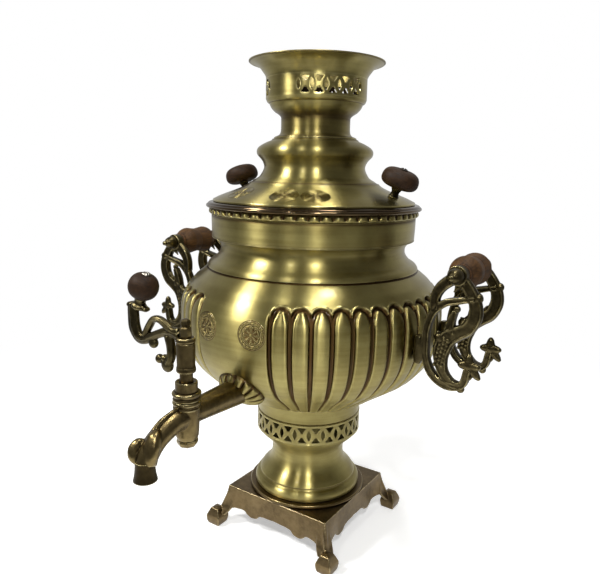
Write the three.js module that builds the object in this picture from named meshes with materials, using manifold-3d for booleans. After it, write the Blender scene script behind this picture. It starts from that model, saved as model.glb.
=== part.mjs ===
// Samovar: a gadrooned brass tank on a pierced pedestal and a four-legged base, with a fire
// tube through its middle, a lift-off lid and crown, two scrolled handles and a plug tap.
// Millimetres, +Z up, the tap toward -Y. The floor is z = 0 and the origin is the middle of
// the footprint's box. Every height below is stacked on the piece that carries it.

import * as THREE from 'three';
import { mergeVertices } from 'three/addons/utils/BufferGeometryUtils.js';
import Module from 'manifold-3d';

const wasm = await Module();
wasm.setup();

// Fits that every piece shares.
const seatGap = 0.3;
const runGap = 0.35;
const overrun = 6;
const sheetWall = 1.6;
const weldTolerance = 0.002;

// How finely round things are divided, and how far a hidden wall may stray from its outline.
const ringSides = 24;
const tubeSides = 14;
const knobSides = 10;
const rodSides = 8;
const nutSides = 6;
const hiddenStray = 0.6;

// Base: a square cast plate with a scalloped apron on four cabriole legs.
const standHeight = 39.7;
const plateThick = 3.2;
const plateLedge = 10;
const apronThick = 3;
const apronDepth = 27;
const legTop = 9.5;
const legReach = 35.5;
const ankleHalf = 4.3;
const footRadius = 8;
const footHeight = 15;
const footSole = 5.6;
// Leg sections from the ankle up: height, distance out, and width between the ankle's and the top's.
const legHeightShares = [0.36, 0.47, 0.7, 0.97];
const legSpreadShares = [0.94, 0.905, 0.84, 0.78];
const legWidthShares = [0, 0.08, 0.72, 1];
const footShares = [[0.7, 0], [1, 0.35], [0.86, 0.78], [0.42, 1]];
// Half of the apron's lower edge: along the side from its middle, and down the apron.
const apronShares = [[0, 0.77], [0.3, 0.79], [0.38, 0.98], [0.56, 1], [0.62, 0.82], [0.78, 0.84], [0.9, 1]];

// Foot: flange and waisted bell, screwed to the base from below.
const flangeReveal = 5.2;
const flangeOverhang = 1;
const flangeHeight = 3.4;
const flangeWidth = 18;
const bellHeight = 58.4;
const bellStep = 1.6;
const bellShares = [
  [0.95, 0], [1, 0.06], [0.87, 0.27], [0.745, 0.4], [0.68, 0.54], [0.69, 0.69], [0.8, 0.86], [0.955, 1],
];
const footScrewInset = 7;
const screwRadius = 2;
const screwHead = 3.8;
const screwHeadHeight = 2.2;

// Pedestal band: a gallery pierced with interlaced circles under a plain band.
const galleryRadius = 51.2;
const galleryHeight = 18.4;
const galleryPitches = 24;
const galleryStrip = 1.9;
const galleryRim = 1.4;
const galleryLensHalf = 2.2;
const galleryTurn = 3.5;
// Half a lens and a field, as shares of their half width and of their height from the band's middle.
const lensShares = [[0, 1], [0.8, 0.5], [0.8, -0.5], [0, -1]];
const fieldShares = [[0, 0], [-1, 1], [1, 1]];
const bandHeight = 15.2;
const bandStep = 0.5;
const bandFlare = 2.3;

// Tank: gadrooned belly, hollow shoulder and straight collar.
const bellyHeight = 129.9;
const bodyRadius = 125;
const bellyStep = 1;
const lipReveal = 4.4;
// The swell from the belly's foot to its full radius, then back from it to the lip.
const swellShares = [[0, 0], [0.172, 0.04], [0.697, 0.24], [0.94, 0.42], [1, 0.66]];
const returnShares = [[0.824, 0.82], [0.494, 0.91], [0, 1]];
const shoulderHeight = 26.7;
const shoulderShares = [[1.033, 0], [1.01, 0.17], [0.94, 0.38], [0.919, 0.6], [0.937, 0.84], [1, 1]];
const lobePitches = 48;
const plainPitches = 5;
const grooveDepth = 2.8;
const grooveHalfShare = 0.13;
const grooveTopShare = 0.91;
const grooveFadeShare = 0.08;
const grooveFootShare = 0.06;
const collarHeight = 20.4;
const collarSetback = 5;
const collarDraft = 0.5;

// Rings round the mouth. The top ring sets the radius of all that stands under and over it.
const beadRingHeight = 5.7;
const beadSetback = 2.6;
const beadDepth = 1.6;
const topRingHeight = 5;
const topRingRadius = 100.6;
const topRingWidth = 8.8;

// Lid: a domed hood with a rim inside the mouth and two wooden knobs.
const hoodHeight = 57.2;
const hoodSetback = 6.3;
// The hood's swell from the crown's foot to its own edge.
const hoodShares = [
  [1, 0], [0.834, 0.107], [0.516, 0.224], [0.4, 0.295], [0.247, 0.393], [0.159, 0.54],
  [0.194, 0.66], [0.283, 0.785], [0.25, 0.865], [0.123, 0.94], [0, 1],
];
const hoodSeat = 4.6;
const lidRimDepth = 9;
const lidStemInset = 12.8;
const lidStemRadius = 4.6;
const lidStemWaist = 3.6;
const lidStemHeight = 9;
const lidKnobRadius = 16.5;
const lidKnobHeight = 18;

// Crown: a teapot rest, with three groups of the same piercing as the pedestal.
const crownFootHeight = 34.8;
const crownFootRadius = 38.1;
// From the foot's radius to the band's, and from the band's to the mouth's.
const crownFootShares = [[0, 0], [-0.79, 0.13], [-0.797, 0.53], [0.216, 0.73], [0.53, 0.86], [1, 1]];
const crownBandRadius = 46;
const crownBandHeight = 17;
const crownLenses = 6;
const crownGroups = 3;
const crownGroupTurn = 12.8;
const crownMouthHeight = 15.5;
const crownMouthRadius = 61.7;
const crownMouthShares = [[0, 0], [0.134, 0.32], [0.33, 0.62], [1, 1]];

// Fire tube through the tank, its grate, and the tank's floor round it.
const tubeFootSetback = 12.7;
const tubeTopRoom = 5.5;
const tubeDrop = 8;
const tubeRise = 13.5;
const tubeLip = 4;
const tubeFlange = 3.5;
const grateThick = 2.5;
const grateSlots = 5;
const grateSlotWidth = 4.2;
const floorRise = 4.6;
const floorThick = 1.8;

// Handles: cast scrolled brackets, a rod, a turned wooden grip and acorn nuts.
const bracketSpread = 28.9;
const bracketThick = 6;
const bracketReach = 53;
const bracketDrop = 93;
const bracketSink = 3;
const bracketStep = 19;
const bossLength = 7.8;
const finialThick = 4.8;
const rodRise = 140.4;
const rodShare = 0.602;
const rodRadius = 3;
const bossRadius = 8;
const gripRadius = 13.6;
const gripShares = [
  [0.66, 0], [0.74, 0.09], [1, 0.27], [0.9, 0.5], [1, 0.73], [0.74, 0.91], [0.66, 1],
];
const acornRadius = 6.4;
const acornLength = 14;
const acornShares = [[0.95, 0], [0.97, 0.25], [0.66, 0.65], [0.32, 0.8], [0, 1]];
const rodThread = 5.6;
const padHalf = 11;
const padShare = 0.16;
const padDropShare = 0.7;
// Scrolls as [outward share, share up from the rod, width in shares of the bracket's thickness].
const scrollShares = [
  [0.602, 0, 1.3], [0.774, -0.094, 1.15], [0.906, -0.223, 1.15], [0.925, -0.33, 1.25],
  [0.83, -0.438, 1.35], [0.66, -0.497, 1.5], [0.509, -0.524, 1.7], [0.396, -0.62, 1.2],
  [0.368, -0.75, 1], [0.453, -0.868, 0.85], [0.604, -0.943, 0.8], [0.736, -0.965, 0.8],
];
const bodyArcShares = [
  [0.877, -0.18, 0.7], [0.66, -0.212, 0.75], [0.434, -0.25, 0.85], [0.264, -0.341, 0.85],
  [0.179, -0.481, 0.85], [0.166, -0.631, 0.85], [0.189, -0.771, 0.85], [0.302, -0.9, 0.85],
  [0.49, -0.97, 0.85], [0.66, -0.975, 0.9], [0.792, -0.932, 0.85], [0.86, -0.78, 0.75],
];
const innerLegShares = [[0.55, -0.02, 1.5], [0.358, -0.115, 1.4], [0.283, -0.201, 1.3], [0.27, -0.31, 1]];
const leafShares = [[0.528, -0.5, 1.4], [0.547, -0.4, 0.9], [0.604, -0.309, 0.5]];
// Finial tips as [turns, tip radius share of the reach] round its middle.
const finialShares = [[0.25, 0.17], [0, 0.19], [-0.15, 0.28], [0.5, 0.19]];
const finialPlaceShares = [0.86, -0.765];
const finialWaistShare = 0.075;

// Tap: escutcheon, body with inlet and spout, tapered plug, and a scrolled lever with a knob.
const tapRise = 35.2;
const tapReach = 46.5;
const barrelRadius = 9.9;
const barrelBelow = 19.5;
const barrelAbove = 11.5;
const barrelRim = 0.6;
const barrelRimHeight = 6;
const inletRoot = 11.4;
const inletTip = 9;
const shankRadius = 6.5;
const waterBore = 4;
const innerNutRadius = 11;
const innerNutLength = 7;
const spoutRadius = 9.4;
const spoutTipRadius = 8.8;
const spoutNeckRadius = 6.9;
const spoutLobeWidth = 14;
const spoutLobeDepth = 18.9;
const spoutLobeHeight = 28.8;
const spoutLobeSpread = 6;
const spoutLobeForward = 3.5;
const spoutLobeDrop = 10.7;
const spoutStep = 10;
// The spout's middle line: out from the stem and up or down from the water line, as shares of its reach.
const spoutReach = 41.5;
const spoutShares = [[0.1, -0.04], [0.5, -0.12], [0.84, -0.3], [1, -0.58]];
const nozzleDrop = 37.5;
const nozzleBoreLength = 15.5;
const nozzleThroat = 10.9;
const nozzleTop = 18.6;
const shellRadius = 19;
const shellHeight = 6.5;
const shellRidges = 12;
const shellRidgeShare = 0.09;
const shellShares = [[1, -0.6], [1, 0.15], [0.8, 0.72], [0.45, 1]];
const plugTopRadius = 6.6;
const plugFootRadius = 5.2;
const plugPort = 3.4;
const plugFlangeRadius = 10.4;
const plugFlangeHeight = 8.2;
const plugCollarRadius = 7.9;
const plugCollarHeight = 6.5;
const plugNotchRadius = 6.9;
const plugNeckRadius = 5.1;
const plugNeckHeight = 7;
const studRadius = 3;
const studLength = 6;
const plugNutRadius = 8.4;
const plugNutHeight = 6.8;
const spindleRadius = 4.1;
const sleeveRadius = 7.4;
const sleeveShare = 0.43;
const capRadius = 4.7;
const capHeight = 14;
const capDomeHeight = 3.5;
const capThreadLength = 8;
const leverReach = 62;
const leverThick = 6.5;
const leverStep = 9;
// Lever bands as [outward share, share of the reach above the sleeve's foot, width share of its thickness].
const leverArmShares = [
  [0.91, 0.72, 1.55], [0.908, 0.56, 1.65], [0.89, 0.4, 1.8], [0.81, 0.29, 1.4], [0.71, 0.28, 1.2],
  [0.58, 0.335, 1.05], [0.45, 0.395, 0.95], [0.32, 0.44, 1.1], [0.1, 0.455, 1.4],
];
const leverArchShares = [
  [0.7, 0.34, 0.85], [0.62, 0.47, 0.8], [0.54, 0.565, 0.75], [0.44, 0.58, 0.75], [0.34, 0.54, 0.85],
  [0.25, 0.48, 0.95], [0.1, 0.42, 1.2],
];
const leverTailShares = [[0.28, 0.4, 1.3], [0.25, 0.27, 1.15], [0.25, 0.14, 1.1], [0.3, 0.05, 1.2]];
const leverLeafShares = [[0.995, 0.7, 0.5], [0.9, 0.7, 0.95], [0.76, 0.69, 1], [0.64, 0.66, 0.45]];
// Round ends as [outward share, share up, radius share of the reach].
const leverBallShares = [[0.318, 0.02, 0.084], [0.44, 0.065, 0.058], [0.555, 0.27, 0.06]];
const knobPlaceShares = [0.8, 0.7];
const knobLean = 20;
const knobPostRadius = 6.4;
const knobPostTip = 5.1;
const knobPostHeight = 7;
const leverKnobRadius = 11.8;
const leverKnobHeight = 20;

// A turned knob's outline, and a screw's domed head.
const knobShares = [[0.34, 0], [0.85, 0.14], [1, 0.45], [0.9, 0.76], [0.55, 0.95], [0.24, 1]];
const domeShares = [[1, 0], [0.7, 0.75], [0, 1]];
const knobScrewRadius = 1.6;
const knobScrewHead = 3.4;
const knobScrewHeadHeight = 1.8;

// Radii that follow from the gallery's, the belly's and the top ring's.
const bandFoot = galleryRadius - bandStep;
const bandTop = bandFoot + bandFlare;
const bellyFoot = bandTop + bellyStep;
const bellRadius = galleryRadius + bellStep;
const flangeRadius = bellRadius + flangeReveal;
const flangeBore = flangeRadius - flangeWidth;
const plateHalf = flangeRadius - flangeOverhang;
const plateHole = flangeBore - plateLedge;
const footSpread = plateHalf + legReach;
const footScrewSpread = flangeBore + footScrewInset;
const collarRadius = topRingRadius - collarSetback;
const collarFoot = collarRadius - collarDraft;
const beadRingRadius = topRingRadius - beadSetback;
const mouthRadius = topRingRadius - topRingWidth;
const hoodRadius = topRingRadius - hoodSetback;
const hoodHole = crownFootRadius - hoodSeat;
const lidStemSpread = hoodRadius - lidStemInset;
const tubeFootRadius = bandFoot - tubeFootSetback;
const tubeTopRadius = hoodHole - tubeTopRoom;
const bracketRoot = bodyRadius - bracketSink;
const stemReach = bodyRadius + tapReach;
const sleeveHeight = leverReach * sleeveShare;

// Heights of the stack.
const flangeBase = standHeight + seatGap;
const bellBase = flangeBase + flangeHeight + seatGap;
const galleryBase = bellBase + bellHeight + seatGap;
const bellyBase = galleryBase + galleryHeight + bandHeight + seatGap;
const shoulderBase = bellyBase + bellyHeight;
const collarBase = shoulderBase + shoulderHeight + seatGap;
const beadBase = collarBase + collarHeight + seatGap;
const topRingBase = beadBase + beadRingHeight + seatGap;
const hoodBase = topRingBase + topRingHeight + seatGap;
const crownBase = hoodBase + hoodHeight + seatGap;
const crownBandBase = crownBase + crownFootHeight;
const crownMouthBase = crownBandBase + crownBandHeight;
const galleryPitch = (2 * Math.PI) / galleryPitches;
const tapHeight = bellyBase + tapRise;
const rodHeight = bellyBase + rodRise;
const rodReach = bracketRoot + bracketReach * rodShare;

const brass = { color: 0x968c50, roughness: 0.38, metalness: 1 };
const bronze = { color: 0x6e5f41, roughness: 0.42, metalness: 1 };
const darkBronze = { color: 0x3e3a24, roughness: 0.5, metalness: 1 };
const tapBronze = { color: 0x5f5037, roughness: 0.42, metalness: 1 };
const walnut = { color: 0x3a241c, roughness: 0.5, metalness: 0 };
const steel = { color: 0x8a8680, roughness: 0.35, metalness: 1 };

// Welds a closed geometry into a solid that can be joined and cut.
function solidOf(geometry) {
  const bare = geometry.clone();
  bare.deleteAttribute('normal');
  bare.deleteAttribute('uv');
  const welded = mergeVertices(bare);
  const corners = welded.index.array;
  const kept = [];
  for (let i = 0; i < corners.length; i += 3) {
    const [a, b, c] = [corners[i], corners[i + 1], corners[i + 2]];
    if (a !== b && b !== c && c !== a) kept.push(a, b, c);
  }
  const mesh = new wasm.Mesh({
    numProp: 3,
    vertProperties: new Float32Array(welded.attributes.position.array),
    triVerts: new Uint32Array(kept),
    tolerance: weldTolerance,
  });
  mesh.merge();
  return new wasm.Manifold(mesh);
}

function geometryOf(solid) {
  const mesh = solid.getMesh();
  const geometry = new THREE.BufferGeometry();
  geometry.setAttribute('position', new THREE.BufferAttribute(new Float32Array(mesh.vertProperties), 3));
  geometry.setIndex(new THREE.BufferAttribute(new Uint32Array(mesh.triVerts), 1));
  geometry.computeVertexNormals();
  return geometry;
}

function join(...solids) {
  return solids.reduce((whole, piece) => whole.add(piece));
}

function cut(solid, ...cutters) {
  return cutters.reduce((whole, cutter) => whole.subtract(cutter), solid);
}

// Places an outline's shares: radius, then height above a base.
function outlineOf(shares, radius, base, height) {
  return shares.map(([out, up]) => new THREE.Vector2(out * radius, base + up * height));
}

// The same, with the radius as a share of the way from one radius to another.
function outlineBetween(shares, from, to, base, height) {
  return shares.map(([out, up]) => new THREE.Vector2(from + out * (to - from), base + up * height));
}

// A rectangle of a turned section, from its inner and outer radius.
function bandOutline(inner, outer, low, high) {
  return [
    new THREE.Vector2(inner, low),
    new THREE.Vector2(outer, low),
    new THREE.Vector2(outer, high),
    new THREE.Vector2(inner, high),
  ];
}

// Turns an outline round +Z. It runs up the outside, and closes on itself or on the axis.
function turn(outline, sides) {
  const first = outline[0];
  const last = outline[outline.length - 1];
  const opensAway = first.x > 0 || last.x > 0;
  const geometry = new THREE.LatheGeometry(opensAway ? [...outline, first.clone()] : outline, sides);
  geometry.rotateX(Math.PI / 2);
  return geometry;
}

function turned(outline, sides) {
  return solidOf(turn(outline, sides));
}

// A round bar from one height to another.
function bar(radius, low, high, sides) {
  const geometry = new THREE.CylinderGeometry(radius, radius, high - low, sides);
  geometry.rotateX(Math.PI / 2);
  geometry.translate(0, 0, (low + high) / 2);
  return geometry;
}

// Lays an upright geometry down, so that its +Z points away from the tank toward the tap.
function towardTap(geometry, height) {
  return geometry.rotateX(Math.PI / 2).translate(0, 0, height);
}

// Leans an upright geometry outward in the XZ plane and sets its foot down at a place.
function leaned(geometry, angle, x, y, z) {
  return geometry.rotateY(angle).translate(x, y, z);
}

// Moves an outline inward, square to itself, and levels its two ends with the outer ones.
function inset(outline, distance) {
  const inner = outline.map((point, i) => {
    const before = outline[Math.max(i - 1, 0)];
    const after = outline[Math.min(i + 1, outline.length - 1)];
    const along = after.clone().sub(before).normalize();
    return new THREE.Vector2(point.x - along.y * distance, point.y + along.x * distance);
  });
  inner[0].y = outline[0].y;
  inner[inner.length - 1].y = outline[outline.length - 1].y;
  return inner;
}

// Leaves out the points of an outline that lie within a distance of a straight run past them.
function thinned(outline, stray) {
  const kept = [outline[0]];
  let passed = [];
  outline.forEach((point) => {
    const from = kept[kept.length - 1];
    const run = point.clone().sub(from);
    if (passed.some((skipped) => Math.abs(run.cross(skipped.clone().sub(from))) > stray * run.length())) {
      kept.push(passed[passed.length - 1]);
      passed = [];
    }
    passed.push(point);
  });
  return [...kept, outline[outline.length - 1]];
}

// A solid turning filled to the axis, from an open outline that runs upward.
function filled(outline, sides) {
  const low = outline[0].y;
  const high = outline[outline.length - 1].y;
  return turned([new THREE.Vector2(0, low), ...outline, new THREE.Vector2(0, high)], sides);
}

// The hollow of a sheet-metal turning, run out past both its ends.
function hollowOf(inner, sides) {
  const first = inner[0];
  const last = inner[inner.length - 1];
  return filled(
    [new THREE.Vector2(first.x, first.y - overrun), ...inner, new THREE.Vector2(last.x, last.y + overrun)],
    sides,
  );
}

function sheet(outline, wall, sides) {
  return cut(filled(outline, sides), hollowOf(thinned(inset(outline, wall), hiddenStray), tubeSides));
}

// The radius of an outline at a height.
function radiusAt(outline, height) {
  for (let i = 1; i < outline.length; i += 1) {
    const [low, high] = [outline[i - 1], outline[i]];
    if (height <= high.y && high.y > low.y) {
      return THREE.MathUtils.mapLinear(height, low.y, high.y, low.x, high.x);
    }
  }
  return outline[outline.length - 1].x;
}

// A closed solid from rings with equal numbers of points, running up, each cap a fan round its middle.
function stacked(rings) {
  const count = rings[0].length;
  const last = rings.length - 1;
  const middles = [rings[0], rings[last]].map((ring) => {
    return ring.reduce((sum, point) => sum.add(point), new THREE.Vector3()).divideScalar(count);
  });
  const points = [...rings.flat(), ...middles];
  const corner = (ring, i) => ring * count + (i % count);
  const faces = [];
  for (let i = 0; i < count; i += 1) {
    faces.push(points.length - 2, corner(0, i + 1), corner(0, i));
    faces.push(points.length - 1, corner(last, i), corner(last, i + 1));
    for (let ring = 0; ring < last; ring += 1) {
      faces.push(corner(ring, i), corner(ring, i + 1), corner(ring + 1, i + 1));
      faces.push(corner(ring, i), corner(ring + 1, i + 1), corner(ring + 1, i));
    }
  }
  return new THREE.BufferGeometry().setFromPoints(points).setIndex(faces);
}

// The flat outline of a band of changing width along a smooth line.
function ribbon(places, widths, stepLength) {
  const line = new THREE.SplineCurve(places);
  const steps = Math.ceil(line.getLength() / stepLength);
  const widthLine = new THREE.SplineCurve(widths.map((width, i) => new THREE.Vector2(i, width)));
  const left = [];
  const right = [];
  for (let step = 0; step <= steps; step += 1) {
    const share = step / steps;
    const point = line.getPoint(share);
    const tangent = line.getTangent(share);
    const half = widthLine.getPoint(share).y / 2;
    left.push(new THREE.Vector2(point.x - tangent.y * half, point.y + tangent.x * half));
    right.unshift(new THREE.Vector2(point.x + tangent.y * half, point.y - tangent.x * half));
  }
  return new THREE.Shape([...left, ...right]);
}

// Stands a flat outline up in the XZ plane, with its thickness centred on y = 0.
function upright(shape, thick) {
  const geometry = new THREE.ExtrudeGeometry(shape, { depth: thick, bevelEnabled: false });
  return geometry.translate(0, 0, -thick / 2).rotateX(Math.PI / 2);
}

// A cast band: shares of reach and rise placed from an origin, widths as shares of the thickness.
function castBand(shares, originX, originZ, reach, rise, thick, stepLength) {
  const places = shares.map(([out, up]) => new THREE.Vector2(originX + out * reach, originZ + up * rise));
  const widths = shares.map(([, , width]) => width * thick);
  return solidOf(upright(ribbon(places, widths, stepLength), thick));
}

const materials = new Map();

function node(name, solid, look, parent) {
  if (!materials.has(look)) materials.set(look, new THREE.MeshStandardMaterial(look));
  const mesh = new THREE.Mesh(geometryOf(solid), materials.get(look).clone());
  mesh.name = name;
  parent.add(mesh);
  return mesh;
}

// Base casting

function leg(turnAngle) {
  const sections = legHeightShares.map((up, i) => {
    const half = THREE.MathUtils.lerp(ankleHalf, legTop, legWidthShares[i]);
    const out = footSpread * legSpreadShares[i];
    const corners = [[out + half, 0], [out, half], [out - half, 0], [out, -half]];
    return corners.map(([x, y]) => new THREE.Vector3(x, y, standHeight * up));
  });
  const footOutline = [
    new THREE.Vector2(0, 0),
    new THREE.Vector2(footSole, 0),
    ...outlineOf(footShares, footRadius, 0, footHeight).slice(1),
    new THREE.Vector2(0, footHeight),
  ];
  const foot = turn(footOutline, nutSides).translate(footSpread, 0, 0);
  return join(solidOf(stacked(sections).rotateZ(turnAngle)), solidOf(foot.rotateZ(turnAngle)));
}

function apronSide(turnAngle) {
  const edge = apronShares.map(([along, down]) => {
    return new THREE.Vector2(along * plateHalf, standHeight - down * apronDepth);
  });
  const mirrored = edge.map((point) => new THREE.Vector2(-point.x, point.y)).reverse().slice(0, -1);
  const corners = [
    new THREE.Vector2(plateHalf, standHeight - apronDepth),
    new THREE.Vector2(plateHalf, standHeight),
    new THREE.Vector2(-plateHalf, standHeight),
    new THREE.Vector2(-plateHalf, standHeight - apronDepth),
  ];
  const shape = new THREE.Shape([...mirrored, ...edge, ...corners]);
  const side = upright(shape, apronThick).translate(0, plateHalf - apronThick / 2, 0);
  return solidOf(side.rotateZ(turnAngle));
}

function footScrewPlaces() {
  return [0, 1, 2, 3].map((quarter) => (quarter + 0.5) * (Math.PI / 2));
}

function placedRound(geometry, radius, angle) {
  return geometry.clone().translate(radius, 0, 0).rotateZ(angle);
}

function baseStand() {
  const plate = new THREE.BoxGeometry(2 * plateHalf - seatGap, 2 * plateHalf - seatGap, plateThick);
  plate.translate(0, 0, standHeight - plateThick / 2);
  const quarters = [0, 1, 2, 3];
  const sides = quarters.map((quarter) => apronSide(quarter * (Math.PI / 2)));
  const legs = quarters.map((quarter) => leg((quarter + 0.5) * (Math.PI / 2)));
  const hole = solidOf(bar(plateHole, standHeight - plateThick - overrun, standHeight + overrun, tubeSides));
  const screwFoot = standHeight - plateThick - overrun;
  const screwHole = bar(screwRadius + seatGap, screwFoot, standHeight + overrun, nutSides);
  const screwHoles = footScrewPlaces().map((angle) => {
    return solidOf(placedRound(screwHole, footScrewSpread, angle));
  });
  return cut(join(solidOf(plate), ...sides, ...legs), hole, ...screwHoles);
}

function footFlange() {
  const edge = flangeHeight / 4;
  const outline = [
    new THREE.Vector2(flangeBore, flangeBase),
    new THREE.Vector2(flangeRadius - edge, flangeBase),
    new THREE.Vector2(flangeRadius, flangeBase + flangeHeight / 2),
    new THREE.Vector2(flangeRadius - edge, flangeBase + flangeHeight),
    new THREE.Vector2(flangeBore, flangeBase + flangeHeight),
  ];
  const top = flangeBase + flangeHeight;
  const hole = bar(screwRadius + seatGap, flangeBase - overrun, top + overrun, nutSides);
  const holes = footScrewPlaces().map((angle) => solidOf(placedRound(hole, footScrewSpread, angle)));
  return cut(turned(outline, ringSides), ...holes);
}

function footScrew(angle) {
  const headTop = standHeight - plateThick - seatGap;
  const outline = [
    new THREE.Vector2(0, headTop - screwHeadHeight),
    new THREE.Vector2(screwHead, headTop - screwHeadHeight),
    new THREE.Vector2(screwHead, headTop),
    new THREE.Vector2(screwRadius, headTop),
    new THREE.Vector2(screwRadius, flangeBase + flangeHeight),
    new THREE.Vector2(0, flangeBase + flangeHeight),
  ];
  return solidOf(placedRound(turn(outline, nutSides), footScrewSpread, angle));
}

function footBell() {
  return sheet(outlineOf(bellShares, bellRadius, bellBase, bellHeight), sheetWall, ringSides);
}

// Pierced galleries. Equal circles, half their width apart in a row, overlap in upright lenses.
// The lenses, and the three-cornered fields above and below each crossing, are cut away.

// One pitch of the piercing laid flat, from the middle of one lens's place to the middle of the
// next: its outline and its holes. Fields lie only between two lenses.
function flatPitch(radius, height, lensBefore, lensAfter) {
  const pitch = galleryPitch * radius;
  const fieldTop = height / 2 - galleryRim;
  const lensTop = fieldTop - galleryStrip;
  const fieldHalf = pitch / 2 - galleryLensHalf - galleryStrip / 2;
  const before = lensShares.map(([x, y]) => new THREE.Vector2(x * galleryLensHalf, y * lensTop));
  const after = lensShares.map(([x, y]) => new THREE.Vector2(pitch - x * galleryLensHalf, -y * lensTop));
  const field = fieldShares.map(([x, y]) => {
    return new THREE.Vector2(pitch / 2 + x * fieldHalf, THREE.MathUtils.lerp(galleryStrip / 2, fieldTop, y));
  });
  const mirrored = field.map((point) => new THREE.Vector2(point.x, -point.y)).reverse();
  const outline = [
    new THREE.Vector2(0, -height / 2),
    new THREE.Vector2(pitch, -height / 2),
    ...(lensAfter ? after : []),
    new THREE.Vector2(pitch, height / 2),
    new THREE.Vector2(0, height / 2),
    ...(lensBefore ? before : []),
  ];
  return { outline, holes: lensBefore && lensAfter ? [field, mirrored] : [] };
}

// A turned wall with a pierced band in it. The section runs from the band's inner foot down, round
// and up to its outer foot, and from its outer top up, round and down to its inner top.
function piercedWall(below, above, hasLens) {
  const [inner, outer] = [below[0].x, above[0].x];
  const [low, high] = [below[0].y, above[0].y];
  const corners = [];
  const place = (radius, angle, z) => {
    return new THREE.Vector3(radius * Math.sin(angle), -radius * Math.cos(angle), z);
  };
  const quad = (a, b, c, d) => corners.push(a, b, c, a, c, d);
  for (let pitch = 0; pitch < galleryPitches; pitch += 1) {
    const start = pitch * galleryPitch;
    const end = start + galleryPitch;
    [below, above].forEach((section) => section.slice(1).forEach((to, i) => {
      const from = section[i];
      quad(
        place(from.x, start, from.y),
        place(from.x, end, from.y),
        place(to.x, end, to.y),
        place(to.x, start, to.y),
      );
    }));
    const { outline, holes } = flatPitch(outer, high - low, hasLens(pitch), hasLens(pitch + 1));
    const at = (radius, point) => place(radius, start + point.x / outer, (low + high) / 2 + point.y);
    const points = [outline, ...holes].flat();
    THREE.ShapeUtils.triangulateShape(outline, holes).forEach(([a, b, c]) => {
      corners.push(at(outer, points[a]), at(outer, points[b]), at(outer, points[c]));
      corners.push(at(inner, points[a]), at(inner, points[c]), at(inner, points[b]));
    });
    [outline, ...holes].forEach((loop) => loop.forEach((from, i) => {
      const to = loop[(i + 1) % loop.length];
      const onRim = from.y === to.y && Math.abs(from.y) === (high - low) / 2;
      const onSeam = from.x === to.x && (from.x === 0 || from.x === outline[1].x);
      if (!onRim && !onSeam) quad(at(outer, from), at(inner, from), at(inner, to), at(outer, to));
    }));
  }
  return solidOf(new THREE.BufferGeometry().setFromPoints(corners));
}

function pedestalBand() {
  const bandBase = galleryBase + galleryHeight;
  const top = bandBase + bandHeight;
  const inner = bandFoot - sheetWall;
  const below = [new THREE.Vector2(inner, galleryBase), new THREE.Vector2(galleryRadius, galleryBase)];
  const above = [
    new THREE.Vector2(galleryRadius, bandBase),
    new THREE.Vector2(bandFoot, bandBase + seatGap),
    new THREE.Vector2(bandTop, top),
    new THREE.Vector2(inner, top),
    new THREE.Vector2(inner, bandBase),
  ];
  return piercedWall(below, above, () => true);
}

function crown() {
  const band = crownBandRadius;
  const foot = outlineBetween(crownFootShares, crownFootRadius, band, crownBase, crownFootHeight);
  const mouth = outlineBetween(crownMouthShares, band, crownMouthRadius, crownMouthBase, crownMouthHeight);
  const inner = band - sheetWall;
  const footInside = thinned(inset(foot, sheetWall).slice(0, -1), hiddenStray).reverse();
  const mouthInside = thinned(inset(mouth, sheetWall).slice(1), hiddenStray).reverse();
  const below = [new THREE.Vector2(inner, crownBandBase), ...footInside, ...foot];
  const above = [...mouth, ...mouthInside, new THREE.Vector2(inner, crownMouthBase)];
  const groupPitches = galleryPitches / crownGroups;
  return piercedWall(below, above, (place) => place % groupPitches < crownLenses);
}

// Tank

const bellyOutline = [
  ...outlineBetween(swellShares, bellyFoot, bodyRadius, bellyBase, bellyHeight),
  ...outlineBetween(returnShares, collarFoot + lipReveal, bodyRadius, bellyBase, bellyHeight),
];
const shoulderOutline = outlineOf(shoulderShares, collarFoot, shoulderBase, shoulderHeight);
const tankInside = [
  ...thinned(inset(bellyOutline, sheetWall + grooveDepth), hiddenStray),
  ...inset(shoulderOutline, sheetWall).slice(2),
];
const clearOfBelly = turned(
  [new THREE.Vector2(0, bellyBase), ...inset(bellyOutline, -seatGap), new THREE.Vector2(0, shoulderBase)],
  2 * lobePitches,
);

// Where the belly stands back from its outline round the tank: by the groove's depth on each
// groove's middle line, and by 0 on both its edges and across the plain front panel.
function lobeColumns() {
  const pitch = (2 * Math.PI) / lobePitches;
  return Array.from({ length: lobePitches }, (item, lobe) => (lobe + 0.5) * pitch).flatMap((groove) => {
    const fromTap = Math.min(groove, 2 * Math.PI - groove);
    if (fromTap < ((plainPitches - 1) / 2) * pitch) return [{ angle: groove, depth: 0 }];
    const half = grooveHalfShare * pitch;
    return [
      { angle: groove - half, depth: 0 },
      { angle: groove, depth: grooveDepth },
      { angle: groove + half, depth: 0 },
    ];
  });
}

function gadroonedBelly() {
  const columns = lobeColumns();
  const rings = bellyOutline.map((point) => {
    const share = (point.y - bellyBase) / bellyHeight;
    const rise = THREE.MathUtils.smoothstep(share, 0, grooveFootShare);
    const fall = THREE.MathUtils.smoothstep(grooveTopShare - share, 0, grooveFadeShare);
    return columns.map(({ angle, depth }) => {
      const radius = point.x - rise * fall * depth;
      return new THREE.Vector3(radius * Math.sin(angle), -radius * Math.cos(angle), point.y);
    });
  });
  return solidOf(stacked(rings));
}

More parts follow.
